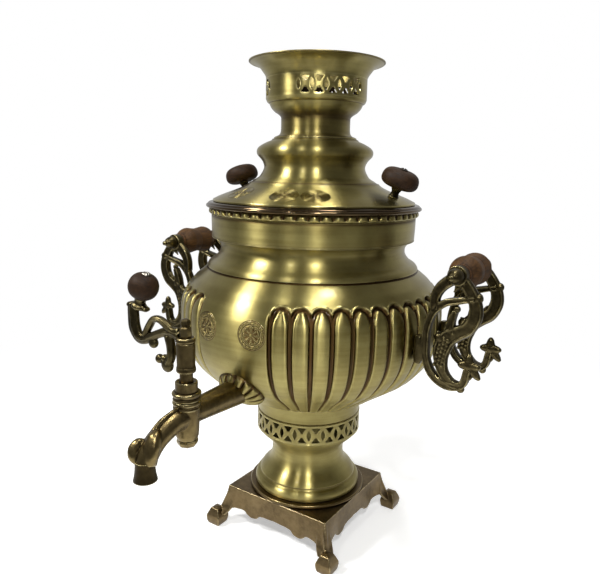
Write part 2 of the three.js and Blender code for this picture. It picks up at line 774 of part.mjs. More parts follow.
function bodyShell() {
  const shoulderFoot = new THREE.Vector2(shoulderOutline[0].x - sheetWall, shoulderBase - seatGap);
  const shoulder = filled([shoulderFoot, ...shoulderOutline], ringSides);
  const hollow = hollowOf(tankInside, tubeSides);
  const shankHole = towardTap(bar(shankRadius + seatGap, bodyRadius / 2, bodyRadius, rodSides), tapHeight);
  const boltHoles = bracketPlaces.map(({ side, across }) => {
    const hole = bar(screwRadius + seatGap, bodyRadius / 2, bracketRoot + overrun, nutSides);
    return solidOf(atPad(hole, side, across));
  });
  return cut(join(gadroonedBelly(), shoulder), hollow, solidOf(shankHole), ...boltHoles);
}

function collar() {
  const top = collarBase + collarHeight;
  const inner = collarFoot - sheetWall;
  return turned(
    [
      new THREE.Vector2(inner, collarBase),
      new THREE.Vector2(collarFoot, collarBase),
      new THREE.Vector2(collarRadius, top),
      new THREE.Vector2(inner, top),
    ],
    ringSides,
  );
}

function beadRing() {
  const inner = collarFoot - sheetWall;
  const waist = beadRingRadius - beadDepth;
  return turned(
    [
      new THREE.Vector2(inner, beadBase),
      new THREE.Vector2(waist, beadBase),
      new THREE.Vector2(beadRingRadius, beadBase + beadRingHeight / 2),
      new THREE.Vector2(waist, beadBase + beadRingHeight),
      new THREE.Vector2(inner, beadBase + beadRingHeight),
    ],
    ringSides,
  );
}

function topRing() {
  const edge = topRingHeight / 2;
  return turned(
    [
      new THREE.Vector2(mouthRadius, topRingBase),
      new THREE.Vector2(topRingRadius - edge, topRingBase),
      new THREE.Vector2(topRingRadius, topRingBase + edge / 2),
      new THREE.Vector2(topRingRadius, topRingBase + edge),
      new THREE.Vector2(topRingRadius - edge, topRingBase + topRingHeight),
      new THREE.Vector2(mouthRadius, topRingBase + topRingHeight),
    ],
    ringSides,
  );
}

// Fire tube, grate and floor

const tubeBase = bellyBase - tubeDrop;
const tankFloorBase = bellyBase + floorRise;
const tankFloorTop = tankFloorBase + floorThick;

function fireTube() {
  const top = crownBase + tubeRise;
  const flangeLow = tankFloorTop + seatGap;
  const bore = tubeFootRadius - sheetWall;
  return turned(
    [
      new THREE.Vector2(bore - tubeLip, tubeBase),
      new THREE.Vector2(tubeFootRadius, tubeBase),
      new THREE.Vector2(tubeFootRadius, flangeLow),
      new THREE.Vector2(tubeFootRadius + tubeFlange, flangeLow),
      new THREE.Vector2(tubeFootRadius + tubeFlange, flangeLow + floorThick),
      new THREE.Vector2(tubeFootRadius, flangeLow + floorThick),
      new THREE.Vector2(tubeTopRadius, top),
      new THREE.Vector2(tubeTopRadius - sheetWall, top),
      new THREE.Vector2(bore, flangeLow + floorThick),
      new THREE.Vector2(bore, tubeBase + sheetWall),
      new THREE.Vector2(bore - tubeLip, tubeBase + sheetWall),
    ],
    tubeSides,
  );
}

function tankFloor() {
  const outer = radiusAt(tankInside, tankFloorBase) * Math.cos(Math.PI / tubeSides) - seatGap;
  return turned(bandOutline(tubeFootRadius + seatGap, outer, tankFloorBase, tankFloorTop), tubeSides);
}

function fireGrate() {
  const radius = (tubeFootRadius - sheetWall) * Math.cos(Math.PI / tubeSides) - seatGap;
  const disc = new THREE.Shape().absarc(0, 0, radius, 0, 2 * Math.PI);
  const spacing = (2 * radius) / (grateSlots + 1);
  for (let slot = 0; slot < grateSlots; slot += 1) {
    const x = (slot - (grateSlots - 1) / 2) * spacing;
    const half = Math.sqrt(radius ** 2 - x ** 2) - grateSlotWidth;
    const [left, right] = [x - grateSlotWidth / 2, x + grateSlotWidth / 2];
    const corners = [[left, -half], [left, half], [right, half], [right, -half]];
    disc.holes.push(new THREE.Path(corners.map(([px, py]) => new THREE.Vector2(px, py))));
  }
  const plate = new THREE.ExtrudeGeometry(disc, {
    depth: grateThick,
    bevelEnabled: false,
    curveSegments: tubeSides / 2,
  });
  return solidOf(plate.translate(0, 0, tubeBase + sheetWall + seatGap));
}

// Lid

const hoodOutline = outlineBetween(hoodShares, crownFootRadius, hoodRadius, hoodBase, hoodHeight);
const hoodTop = hoodBase + hoodHeight;
const lidRimRadius = mouthRadius - runGap;

// Where a lid knob stands: its foot on the hood, and the lean that squares it to the surface.
function lidKnobSeat() {
  const i = hoodOutline.findIndex((point) => point.x < lidStemSpread);
  const [low, high] = [hoodOutline[i - 1], hoodOutline[i]];
  const height = THREE.MathUtils.mapLinear(lidStemSpread, low.x, high.x, low.y, high.y);
  return { height, lean: Math.atan2(high.y - low.y, low.x - high.x) };
}

function onLid(geometry, side) {
  const { height, lean } = lidKnobSeat();
  return leaned(geometry, lean, lidStemSpread, 0, height).rotateZ(side > 0 ? 0 : Math.PI);
}

function lid() {
  const outline = [
    new THREE.Vector2(lidRimRadius, hoodBase - lidRimDepth),
    new THREE.Vector2(lidRimRadius, hoodBase),
    ...hoodOutline,
  ];
  const inside = [
    new THREE.Vector2(lidRimRadius - sheetWall, hoodBase - lidRimDepth),
    new THREE.Vector2(lidRimRadius - sheetWall, hoodBase + sheetWall),
    ...thinned(inset(hoodOutline, sheetWall).slice(1, -1), hiddenStray),
    new THREE.Vector2(hoodHole, hoodTop - sheetWall),
    new THREE.Vector2(hoodHole, hoodTop),
  ];
  const holes = [1, -1].map((side) => {
    return solidOf(onLid(bar(knobScrewRadius + seatGap, -overrun, overrun, nutSides), side));
  });
  return cut(filled(outline, ringSides), hollowOf(inside, tubeSides), ...holes);
}

function lidStem(side) {
  const outline = [
    new THREE.Vector2(knobScrewRadius + seatGap, seatGap),
    new THREE.Vector2(lidStemRadius, seatGap),
    new THREE.Vector2(lidStemWaist, lidStemHeight / 3),
    new THREE.Vector2(lidStemWaist, lidStemHeight),
    new THREE.Vector2(knobScrewRadius + seatGap, lidStemHeight),
  ];
  return solidOf(onLid(turn(outline, nutSides), side));
}

function knobOutline(radius, height, base) {
  const bore = knobScrewRadius + seatGap;
  return [
    new THREE.Vector2(bore, base),
    ...outlineOf(knobShares, radius, base, height),
    new THREE.Vector2(bore, base + height),
  ];
}

function lidKnob(side) {
  const outline = knobOutline(lidKnobRadius, lidKnobHeight, lidStemHeight + seatGap);
  return solidOf(onLid(turn(outline, knobSides), side));
}

// A knob's screw: a domed head on top and a shank down to a foot height.
function knobScrew(top, foot) {
  const dome = outlineOf(domeShares, knobScrewHead, top, knobScrewHeadHeight);
  const outline = [
    new THREE.Vector2(0, foot),
    new THREE.Vector2(knobScrewRadius, foot),
    new THREE.Vector2(knobScrewRadius, top),
    ...dome,
  ];
  return turn(outline, nutSides);
}

function lidScrew(side) {
  const top = lidStemHeight + 2 * seatGap + lidKnobHeight;
  return solidOf(onLid(knobScrew(top, -sheetWall), side));
}

// Handles

const bracketPlaces = [
  { name: 'right_front', side: 1, across: -bracketSpread },
  { name: 'right_rear', side: 1, across: bracketSpread },
  { name: 'left_front', side: -1, across: -bracketSpread },
  { name: 'left_rear', side: -1, across: bracketSpread },
];
const padHeight = rodHeight - padDropShare * bracketDrop;
const bossHalf = bossLength / 2;

// Lays an upright geometry along X through a bracket's pad, pointing away from the tank.
function atPad(geometry, side, across) {
  return geometry.rotateY(Math.PI / 2).rotateZ(side > 0 ? 0 : Math.PI).translate(0, across, padHeight);
}

function finial() {
  const [outShare, upShare] = finialPlaceShares;
  const middle = new THREE.Vector2(bracketRoot + outShare * bracketReach, rodHeight + upShare * bracketDrop);
  const tips = [...finialShares].sort((a, b) => a[0] - b[0]);
  const points = [];
  tips.forEach(([turns, tipShare], i) => {
    const next = i + 1 < tips.length ? tips[i + 1][0] : tips[0][0] + 1;
    const waistTurns = (turns + next) / 2;
    [[turns, tipShare], [waistTurns, finialWaistShare]].forEach(([at, share]) => {
      const angle = at * 2 * Math.PI;
      const reach = share * bracketReach;
      points.push(new THREE.Vector2(middle.x + reach * Math.cos(angle), middle.y + reach * Math.sin(angle)));
    });
  });
  return solidOf(upright(new THREE.Shape(points), finialThick));
}

function bracket({ side, across }) {
  const bands = [scrollShares, bodyArcShares, innerLegShares, leafShares].map((shares) => {
    return castBand(shares, bracketRoot, rodHeight, bracketReach, bracketDrop, bracketThick, bracketStep);
  });
  const boss = bar(bossRadius, -bossHalf, bossHalf, knobSides).rotateX(Math.PI / 2);
  const padLength = padShare * bracketReach + overrun;
  const pad = new THREE.BoxGeometry(padLength, bracketThick, 2 * padHalf);
  pad.translate(bracketRoot - overrun + padLength / 2, 0, padHeight);
  const whole = join(
    ...bands,
    finial(),
    solidOf(boss.translate(rodReach, 0, rodHeight)),
    solidOf(pad),
  );
  const rodHole = bar(rodRadius + seatGap, -overrun, overrun, rodSides).rotateX(Math.PI / 2);
  const bored = cut(whole, solidOf(rodHole.translate(rodReach, 0, rodHeight)));
  const placed = geometryOf(bored).rotateZ(side > 0 ? 0 : Math.PI).translate(0, across, 0);
  const boltHole = bar(screwRadius + seatGap, bracketRoot - 2 * overrun, boltTip + seatGap, nutSides);
  return cut(solidOf(placed), clearOfBelly, solidOf(atPad(boltHole, side, across)));
}

const boltTip = bracketRoot + (padShare * bracketReach) / 2;

function handleBolt({ side, across }) {
  const wall = radiusAt(tankInside, padHeight - screwHead) * Math.cos(Math.PI / tubeSides);
  const seat = Math.sqrt(wall ** 2 - (bracketSpread + screwHead) ** 2) - seatGap;
  const outline = [
    new THREE.Vector2(0, seat - screwHeadHeight),
    new THREE.Vector2(screwHead, seat - screwHeadHeight),
    new THREE.Vector2(screwHead, seat),
    new THREE.Vector2(screwRadius, seat),
    new THREE.Vector2(screwRadius, boltTip),
    new THREE.Vector2(0, boltTip),
  ];
  return solidOf(atPad(turn(outline, nutSides), side, across));
}

// Lays an upright geometry along the rod of a handle, pointing to the front or the back.
function alongRod(geometry, side, end) {
  return geometry.rotateX(-end * (Math.PI / 2)).translate(side * rodReach, 0, rodHeight);
}

const acornBase = bracketSpread + bossHalf + seatGap;
const rodHalf = acornBase + rodThread;

function handleRod(side) {
  return solidOf(alongRod(bar(rodRadius, -rodHalf, rodHalf, rodSides), side, 1));
}

function grip(side) {
  const half = bracketSpread - bossHalf - seatGap;
  const bore = rodRadius + seatGap;
  const outline = [
    new THREE.Vector2(bore, -half),
    ...outlineOf(gripShares, gripRadius, -half, 2 * half),
    new THREE.Vector2(bore, half),
  ];
  return solidOf(alongRod(turn(outline, knobSides), side, 1));
}

function acornNut({ side, across }) {
  const bore = rodRadius + seatGap;
  const boreTop = rodHalf + seatGap;
  const outline = [
    new THREE.Vector2(bore, acornBase),
    ...outlineOf(acornShares, acornRadius, acornBase, acornLength),
    new THREE.Vector2(0, boreTop),
    new THREE.Vector2(bore, boreTop),
  ];
  return solidOf(alongRod(turn(outline, rodSides), side, Math.sign(across)));
}

// Tap

const stemY = -stemReach;
const barrelTop = tapHeight + barrelAbove;
const barrelFoot = tapHeight - barrelBelow;
const plugFlangeBase = barrelTop + seatGap;
const plugCollarBase = plugFlangeBase + plugFlangeHeight;
const plugNeckBase = plugCollarBase + plugCollarHeight;
const sleeveBase = plugNeckBase + plugNeckHeight + seatGap;
const sleeveTop = sleeveBase + sleeveHeight;
const nutWall = radiusAt(tankInside, tapHeight - innerNutRadius);
const nutFace = Math.sqrt(nutWall ** 2 - innerNutRadius ** 2) - 2 * seatGap;

function atStem(geometry) {
  return geometry.translate(0, stemY, 0);
}

// The ridged shell round the inlet, dished out square to the belly.
function tapShell() {
  const root = radiusAt(bellyOutline, tapHeight);
  const above = radiusAt(bellyOutline, tapHeight + shellRadius / 2);
  const below = radiusAt(bellyOutline, tapHeight - shellRadius / 2);
  const slope = Math.atan2(shellRadius, above - below);
  const rings = shellShares.map(([out, up]) => Array.from({ length: 2 * shellRidges }, (item, i) => {
    const angle = (i * Math.PI) / shellRidges;
    const radius = out * shellRadius * (i % 2 === 0 ? 1 : 1 - shellRidgeShare);
    return new THREE.Vector3(radius * Math.cos(angle), radius * Math.sin(angle), up * shellHeight);
  }));
  const shell = stacked(rings).rotateX(Math.PI - slope).translate(0, -root, tapHeight);
  const inletHole = towardTap(bar(inletRoot + seatGap, 0, stemReach, knobSides), tapHeight);
  return cut(solidOf(shell), clearOfBelly, solidOf(inletHole));
}

function spoutLine(firstOut) {
  const points = spoutShares.map(([out, up]) => {
    return new THREE.Vector3(0, stemY - out * spoutReach, tapHeight + up * spoutReach);
  });
  return new THREE.CatmullRomCurve3([new THREE.Vector3(0, stemY + firstOut, tapHeight), ...points]);
}

function tubeAlong(line, radius, sides) {
  const circle = new THREE.Shape(Array.from({ length: sides }, (item, i) => {
    const angle = (i * 2 * Math.PI) / sides;
    return new THREE.Vector2(radius * Math.cos(angle), radius * Math.sin(angle));
  }));
  const steps = Math.ceil(line.getLength() / spoutStep);
  return new THREE.ExtrudeGeometry(circle, { extrudePath: line, steps, bevelEnabled: false });
}

function tapBody() {
  const inletFoot = radiusAt(bellyOutline, tapHeight - inletRoot);
  const inlet = turn(
    [
      new THREE.Vector2(0, inletFoot),
      new THREE.Vector2(inletRoot, inletFoot),
      new THREE.Vector2(inletRoot, bodyRadius),
      new THREE.Vector2(inletTip, stemReach - barrelRadius),
      new THREE.Vector2(inletTip, stemReach),
      new THREE.Vector2(0, stemReach),
    ],
    knobSides,
  );
  const shank = bar(shankRadius, nutFace - innerNutLength - 2 * seatGap, stemReach, rodSides);
  const barrel = turn(
    [
      new THREE.Vector2(0, barrelFoot),
      new THREE.Vector2(barrelRadius - barrelRim, barrelFoot),
      new THREE.Vector2(barrelRadius, barrelTop - barrelRimHeight),
      new THREE.Vector2(barrelRadius + barrelRim, barrelTop - barrelRimHeight),
      new THREE.Vector2(barrelRadius + barrelRim, barrelTop),
      new THREE.Vector2(0, barrelTop),
    ],
    knobSides,
  );
  const nozzleFoot = tapHeight - nozzleDrop;
  const nozzle = turn(
    [
      new THREE.Vector2(0, nozzleFoot),
      new THREE.Vector2(spoutTipRadius, nozzleFoot),
      new THREE.Vector2(spoutNeckRadius, nozzleFoot + nozzleThroat),
      new THREE.Vector2(spoutNeckRadius, nozzleFoot + nozzleTop),
      new THREE.Vector2(0, nozzleFoot + nozzleTop),
    ],
    knobSides,
  );
  const spoutEnd = stemY - spoutReach;
  const lobes = [1, -1].map((side) => {
    const lobe = new THREE.SphereGeometry(0.5, rodSides, nutSides);
    lobe.rotateX(Math.PI / 2).scale(spoutLobeWidth, spoutLobeDepth, spoutLobeHeight);
    lobe.translate(side * spoutLobeSpread, spoutEnd - spoutLobeForward, tapHeight - spoutLobeDrop);
    return solidOf(lobe);
  });
  const outside = join(
    cut(solidOf(towardTap(inlet, tapHeight)), clearOfBelly),
    solidOf(towardTap(shank, tapHeight)),
    solidOf(atStem(barrel)),
    solidOf(tubeAlong(spoutLine(-barrelRadius / 2), spoutRadius, rodSides)),
    solidOf(nozzle.translate(0, spoutEnd, 0)),
    ...lobes,
  );
  const plugBore = turn(
    [
      new THREE.Vector2(0, barrelFoot - overrun),
      new THREE.Vector2(plugFootRadius + runGap, barrelFoot - overrun),
      new THREE.Vector2(plugFootRadius + runGap, barrelFoot),
      new THREE.Vector2(plugTopRadius + runGap, barrelTop),
      new THREE.Vector2(plugTopRadius + runGap, barrelTop + overrun),
      new THREE.Vector2(0, barrelTop + overrun),
    ],
    knobSides,
  );
  const water = bar(waterBore, nutFace - innerNutLength - overrun, stemReach, nutSides);
  const boreTop = nozzleFoot + nozzleBoreLength;
  const nozzleBore = bar(spoutNeckRadius - sheetWall, nozzleFoot - overrun, boreTop, rodSides);
  return cut(
    outside,
    solidOf(atStem(plugBore)),
    solidOf(towardTap(water, tapHeight)),
    solidOf(tubeAlong(spoutLine(0), waterBore, nutSides)),
    solidOf(nozzleBore.translate(0, spoutEnd, 0)),
  );
}

function tapInnerNut() {
  const bored = cut(
    turned(bandOutline(shankRadius / 2, innerNutRadius, nutFace - innerNutLength, nutFace), nutSides),
    solidOf(bar(shankRadius + seatGap, 0, stemReach, rodSides)),
  );
  return solidOf(towardTap(geometryOf(bored), tapHeight));
}

function tapPlug() {
  const notch = plugCollarBase + plugCollarHeight / 2;
  const outline = [
    new THREE.Vector2(0, barrelFoot - studLength),
    new THREE.Vector2(studRadius, barrelFoot - studLength),
    new THREE.Vector2(studRadius, barrelFoot),
    new THREE.Vector2(plugFootRadius, barrelFoot),
    new THREE.Vector2(plugTopRadius, barrelTop),
    new THREE.Vector2(plugTopRadius, plugFlangeBase),
    new THREE.Vector2(plugFlangeRadius, plugFlangeBase),
    new THREE.Vector2(plugFlangeRadius, plugCollarBase),
    new THREE.Vector2(plugCollarRadius, plugCollarBase),
    new THREE.Vector2(plugNotchRadius, notch),
    new THREE.Vector2(plugCollarRadius, notch + plugCollarHeight / 8),
    new THREE.Vector2(plugCollarRadius, plugNeckBase),
    new THREE.Vector2(plugNeckRadius, plugNeckBase),
    new THREE.Vector2(plugNeckRadius, sleeveBase - seatGap),
    new THREE.Vector2(spindleRadius, sleeveBase - seatGap),
    new THREE.Vector2(spindleRadius, sleeveTop),
    new THREE.Vector2(studRadius, sleeveTop),
    new THREE.Vector2(studRadius, sleeveTop + capThreadLength),
    new THREE.Vector2(0, sleeveTop + capThreadLength),
  ];
  const port = bar(plugPort, -2 * plugTopRadius, 2 * plugTopRadius, nutSides).rotateY(Math.PI / 2);
  return cut(solidOf(atStem(turn(outline, knobSides))), solidOf(atStem(port.translate(0, 0, tapHeight))));
}

function plugNut() {
  const top = barrelFoot - seatGap;
  const bore = studRadius + seatGap;
  const boreFoot = barrelFoot - studLength - seatGap;
  const outline = [
    new THREE.Vector2(0, top - plugNutHeight),
    new THREE.Vector2(studRadius, top - plugNutHeight),
    new THREE.Vector2(plugNutRadius, top - plugNutHeight / 3),
    new THREE.Vector2(plugNutRadius, top),
    new THREE.Vector2(bore, top),
    new THREE.Vector2(bore, boreFoot),
    new THREE.Vector2(0, boreFoot),
  ];
  return solidOf(atStem(turn(outline, knobSides)));
}

function leverNut() {
  const base = sleeveTop + seatGap;
  const bore = studRadius + seatGap;
  const boreTop = sleeveTop + capThreadLength + seatGap;
  const outline = [
    new THREE.Vector2(bore, base),
    new THREE.Vector2(capRadius, base),
    ...outlineOf(domeShares, capRadius, base + capHeight - capDomeHeight, capDomeHeight),
    new THREE.Vector2(0, boreTop),
    new THREE.Vector2(bore, boreTop),
  ];
  return solidOf(atStem(turn(outline, rodSides)));
}

// Sets an upright geometry on the lever's end, leaning back to the stem.
function onLever(geometry) {
  const [outShare, upShare] = knobPlaceShares;
  const lean = THREE.MathUtils.degToRad(knobLean);
  return leaned(geometry, lean, -outShare * leverReach, stemY, sleeveBase + upShare * leverReach);
}

function tapLever() {
  const bands = [leverArmShares, leverArchShares, leverTailShares, leverLeafShares].map((shares) => {
    const shape = castBand(shares, 0, sleeveBase, leverReach, leverReach, leverThick, leverStep);
    return solidOf(atStem(geometryOf(shape).rotateZ(Math.PI)));
  });
  const balls = leverBallShares.map(([out, up, size]) => {
    const ball = bar(size * leverReach, -leverThick / 2, leverThick / 2, rodSides).rotateX(Math.PI / 2);
    return solidOf(atStem(ball.translate(-out * leverReach, 0, sleeveBase + up * leverReach)));
  });
  const sleeve = turn(bandOutline(spindleRadius + seatGap, sleeveRadius, sleeveBase, sleeveTop), knobSides);
  const post = new THREE.CylinderGeometry(knobPostTip, knobPostRadius, knobPostHeight, rodSides);
  const postHole = bar(knobScrewRadius + seatGap, -seatGap, knobPostHeight + overrun, nutSides);
  const spindleHole = bar(spindleRadius + seatGap, sleeveBase - overrun, sleeveTop + overrun, knobSides);
  return cut(
    join(
      solidOf(atStem(sleeve)),
      ...bands,
      ...balls,
      solidOf(onLever(post.rotateX(Math.PI / 2).translate(0, 0, knobPostHeight / 2))),
    ),
    solidOf(onLever(postHole)),
    solidOf(atStem(spindleHole)),
  );
}

function leverKnob() {
  const outline = knobOutline(leverKnobRadius, leverKnobHeight, knobPostHeight + seatGap);
  return solidOf(onLever(turn(outline, knobSides)));
}

function leverScrew() {
  return solidOf(onLever(knobScrew(knobPostHeight + leverKnobHeight + 2 * seatGap, 0)));
}

// Assembly

const samovar = new THREE.Group();
node('base_stand', baseStand(), bronze, samovar);
node('foot_flange', footFlange(), bronze, samovar);
footScrewPlaces().forEach((angle, i) => node(`foot_screw_${i + 1}`, footScrew(angle), steel, samovar));
node('foot_bell', footBell(), brass, samovar);
node('pedestal_band', pedestalBand(), brass, samovar).rotation.z = THREE.MathUtils.degToRad(galleryTurn);
node('body_shell', bodyShell(), brass, samovar);
node('tank_floor', tankFloor(), brass, samovar);
node('fire_tube', fireTube(), brass, samovar);
node('fire_grate', fireGrate(), darkBronze, samovar);
node('collar', collar(), brass, samovar);
node('bead_ring', beadRing(), brass, samovar);
node('top_ring', topRing(), bronze, samovar);
node('lid', lid(), brass, samovar);
node('lid_stem_right', lidStem(1), darkBronze, samovar);
node('lid_stem_left', lidStem(-1), darkBronze, samovar);
node('lid_knob_right', lidKnob(1), walnut, samovar);
node('lid_knob_left', lidKnob(-1), walnut, samovar);
node('lid_screw_right', lidScrew(1), steel, samovar);
node('lid_screw_left', lidScrew(-1), steel, samovar);
node('crown', crown(), brass, samovar).rotation.z = THREE.MathUtils.degToRad(crownGroupTurn);
bracketPlaces.forEach((place) => {
  node(`bracket_${place.name}`, bracket(place), darkBronze, samovar);
  node(`handle_bolt_${place.name}`, handleBolt(place), steel, samovar);
  node(`acorn_nut_${place.name}`, acornNut(place), darkBronze, samovar);
});
node('rod_right', handleRod(1), steel, samovar);
node('rod_left', handleRod(-1), steel, samovar);
node('grip_right', grip(1), walnut, samovar);
node('grip_left', grip(-1), walnut, samovar);
node('tap_shell', tapShell(), brass, samovar);
node('tap_body', tapBody(), tapBronze, samovar);
node('tap_inner_nut', tapInnerNut(), brass, samovar);
node('tap_plug', tapPlug(), tapBronze, samovar);
node('plug_nut', plugNut(), tapBronze, samovar);
node('tap_lever', tapLever(), darkBronze, samovar);
node('lever_nut', leverNut(), tapBronze, samovar);
node('lever_knob', leverKnob(), walnut, samovar);
node('lever_screw', leverScrew(), steel, samovar);

// The origin is the middle of the footprint's box, on the floor.
const middle = new THREE.Box3().setFromObject(samovar).getCenter(new THREE.Vector3());
samovar.position.y = -middle.y;
const part = new THREE.Group();
part.add(samovar);

export default part;
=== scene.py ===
"""Looks of a brass charcoal samovar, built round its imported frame.

Outlines and reliefs are written in millimetres round the urn's own axis, with the tap toward -Y, and are
moved into the frame, in metres, when a piece is made.
"""

import functools
import math

import bpy
import numpy as np
from mathutils import Matrix, Vector
from mathutils.geometry import delaunay_2d_cdt


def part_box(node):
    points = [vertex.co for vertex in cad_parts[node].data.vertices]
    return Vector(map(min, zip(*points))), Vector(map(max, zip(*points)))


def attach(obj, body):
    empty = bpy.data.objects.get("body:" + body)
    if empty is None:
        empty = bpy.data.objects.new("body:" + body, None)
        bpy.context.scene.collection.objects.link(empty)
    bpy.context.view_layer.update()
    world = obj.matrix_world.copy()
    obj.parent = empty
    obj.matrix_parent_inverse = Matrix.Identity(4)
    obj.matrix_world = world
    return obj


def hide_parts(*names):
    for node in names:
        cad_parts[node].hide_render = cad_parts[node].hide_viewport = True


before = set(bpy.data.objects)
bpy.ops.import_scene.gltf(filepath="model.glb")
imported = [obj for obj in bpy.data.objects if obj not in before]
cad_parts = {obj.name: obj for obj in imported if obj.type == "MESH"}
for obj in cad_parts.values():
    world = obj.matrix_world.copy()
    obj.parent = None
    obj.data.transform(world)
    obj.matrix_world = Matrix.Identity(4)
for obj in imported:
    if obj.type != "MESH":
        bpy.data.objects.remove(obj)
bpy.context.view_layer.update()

MM = 0.001
TAU = 2 * math.pi
RING_LOW, RING_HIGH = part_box("top_ring")
AXIS_Y = (RING_LOW.y + RING_HIGH.y) / 2
SHEET = 1.3
LONGEST_FILLET = 0.45


# Numbers and outlines


def smoothstep(low, high, value):
    share = np.clip((np.asarray(value, float) - low) / (high - low), 0, 1)
    return share * share * (3 - 2 * share)


def lengths_along(line):
    """The way along a line from its start to each of its points."""
    return np.concatenate([[0], np.cumsum(np.linalg.norm(np.diff(line, axis=0), axis=1))])


def headings(line):
    along = np.gradient(np.asarray(line, float), axis=0)
    return along / np.linalg.norm(along, axis=1)[:, None]


def round_axis(radius, angle, height):
    """Places round the urn's axis, with angle 0 toward the tap."""
    return np.stack(np.broadcast_arrays(radius * np.sin(angle), -radius * np.cos(angle), height), -1)


def spline(points, step=0.8):
    """A centripetal Catmull-Rom curve through the points, sampled about every step."""
    points = np.asarray(points, float)
    if len(points) == 2:
        count = max(1, round(float(np.linalg.norm(points[1] - points[0])) / step))
        return points[0] + (points[1] - points[0]) * np.linspace(0, 1, count + 1)[:, None]
    ends = np.vstack([2 * points[0] - points[1], points, 2 * points[-1] - points[-2]])
    line = []
    for near in zip(ends, ends[1:], ends[2:], ends[3:]):
        knots = np.cumsum([0, *(max(1e-6, np.linalg.norm(b - a)) ** 0.5 for a, b in zip(near, near[1:]))])
        count = max(1, round(float(np.linalg.norm(near[2] - near[1])) / step))
        t = np.linspace(knots[1], knots[2], count, endpoint=False)[:, None]

        def between(first, second, low, high):
            return first + (second - first) * ((t - knots[low]) / (knots[high] - knots[low]))

        before, start, end, after = near
        middle = between(start, end, 1, 2)
        early = between(between(start, before, 1, 0), middle, 0, 2)
        late = between(middle, between(end, after, 2, 3), 1, 3)
        line.append(between(early, late, 1, 2))
    return np.vstack([*line, points[-1]])


def outline(*parts, fillet=0.35, step=0.8, closed=True):
    """A line of (radius, height) in smooth parts, each from the end of the last, with rounded corners."""
    line, corners, joint = [], [], []
    for part in parts:
        sampled = list(spline([*joint, *part], step))
        if line:
            corners.append(len(line) - 1)
        line += sampled[1:] if line else sampled
        joint = [part[-1]]
    if closed:
        corners += [0, len(line) - 1]
    rounded = []
    for i, point in enumerate(line):
        if i not in corners:
            rounded.append(point)
            continue
        back, on = line[i - 1] - point, line[(i + 1) % len(line)] - point
        reach = [min(fillet / max(np.linalg.norm(way), 1e-6), LONGEST_FILLET) for way in (back, on)]
        start, end = point + back * reach[0], point + on * reach[1]
        for t in np.linspace(0, 1, 5):
            rounded.append((1 - t) ** 2 * start + 2 * t * (1 - t) * point + t * t * end)
    return np.array(rounded)


def inset(line, distance):
    """An open outline that runs up the outside, moved square to itself toward the axis."""
    along = headings(line)
    return np.stack([line[:, 0] - along[:, 1] * distance, line[:, 1] + along[:, 0] * distance], 1)


# Shapes


class Shape:
    """Vertices with a darkening each, which on some pieces is painted shade, and faces with the number of a
    look each.
    """

    def __init__(self):
        self.vertices, self.faces, self.stains, self.looks = [], [], [], []
        self.count = 0

    def add(self, vertices, faces, stain=0.0, looks=0):
        self.faces += [tuple(int(i) + self.count for i in face) for face in faces]
        self.looks += np.broadcast_to(looks, (len(faces),)).tolist()
        self.vertices.append(np.asarray(vertices, float))
        self.stains.append(np.broadcast_to(np.asarray(stain, float), (len(vertices),)))
        self.count += len(vertices)
        return self

    def merge(self, *others):
        for other in others:
            self.faces += [tuple(i + self.count for i in face) for face in other.faces]
            self.looks += other.looks
            self.vertices += other.vertices
            self.stains += other.stains
            self.count += other.count
        return self

    def placed(self, matrix):
        made = Shape().merge(self)
        turn, shift = np.array(matrix)[:3, :3], np.array(matrix)[:3, 3]
        made.vertices = [part @ turn.T + shift for part in self.vertices]
        if np.linalg.det(turn) < 0:
            made.faces = [face[::-1] for face in made.faces]
        return made


def grid_faces(rows, columns, wrap=True, loop=False):
    """Quads of a grid whose rows run round and up, with their normals outward."""
    i = np.arange(columns if wrap else columns - 1)
    j = (i + 1) % columns
    low = columns * np.arange(rows if loop else rows - 1)[:, None]
    high = (low + columns) % (rows * columns)
    return np.stack([low + i, low + j, high + j, high + i], -1).reshape(-1, 4)


def sheet(places, stain, flip=False):
    """A shape from rows of places that run round."""
    faces = grid_faces(*places.shape[:2])
    return Shape().add(places.reshape(-1, 3), faces[:, ::-1] if flip else faces, stain.reshape(-1))


def turned(line, sides=192, stain=0.0, loop=True):
    """A turning. A loop's outline runs up the outside and down the inside; an open one may start and end
    on the axis."""
    line = np.asarray(line, float)
    poles = [] if loop else [i for i in (0, len(line) - 1) if line[i, 0] < 1e-6]
    kept = [i for i in range(len(line)) if i not in poles]
    angles = np.arange(sides) * TAU / sides
    vertices = round_axis(line[kept, :1], angles, line[kept, 1:]).reshape(-1, 3)
    stains = np.repeat(np.broadcast_to(np.asarray(stain, float), (len(line),))[kept], sides)
    faces = [*grid_faces(len(kept), sides, loop=loop)]
    for at, pole in enumerate(poles, len(vertices)):
        base = len(vertices) - sides if pole else 0
        for i in range(sides):
            cap = (base + i, base + (i + 1) % sides, at)
            faces.append(cap if pole else (cap[2], cap[1], cap[0]))
    tips = [[0, 0, line[pole, 1]] for pole in poles]
    return Shape().add(np.vstack([vertices, *tips]), faces, np.concatenate([stains, np.zeros(len(tips))]))


def lathe(*parts, sides=48, fillet=0.3, step=0.8, stain=0.0):
    """A solid turning of an outline that starts and ends on the axis."""
    return turned(outline(*parts, fillet=fillet, step=step, closed=False), sides, stain, loop=False)


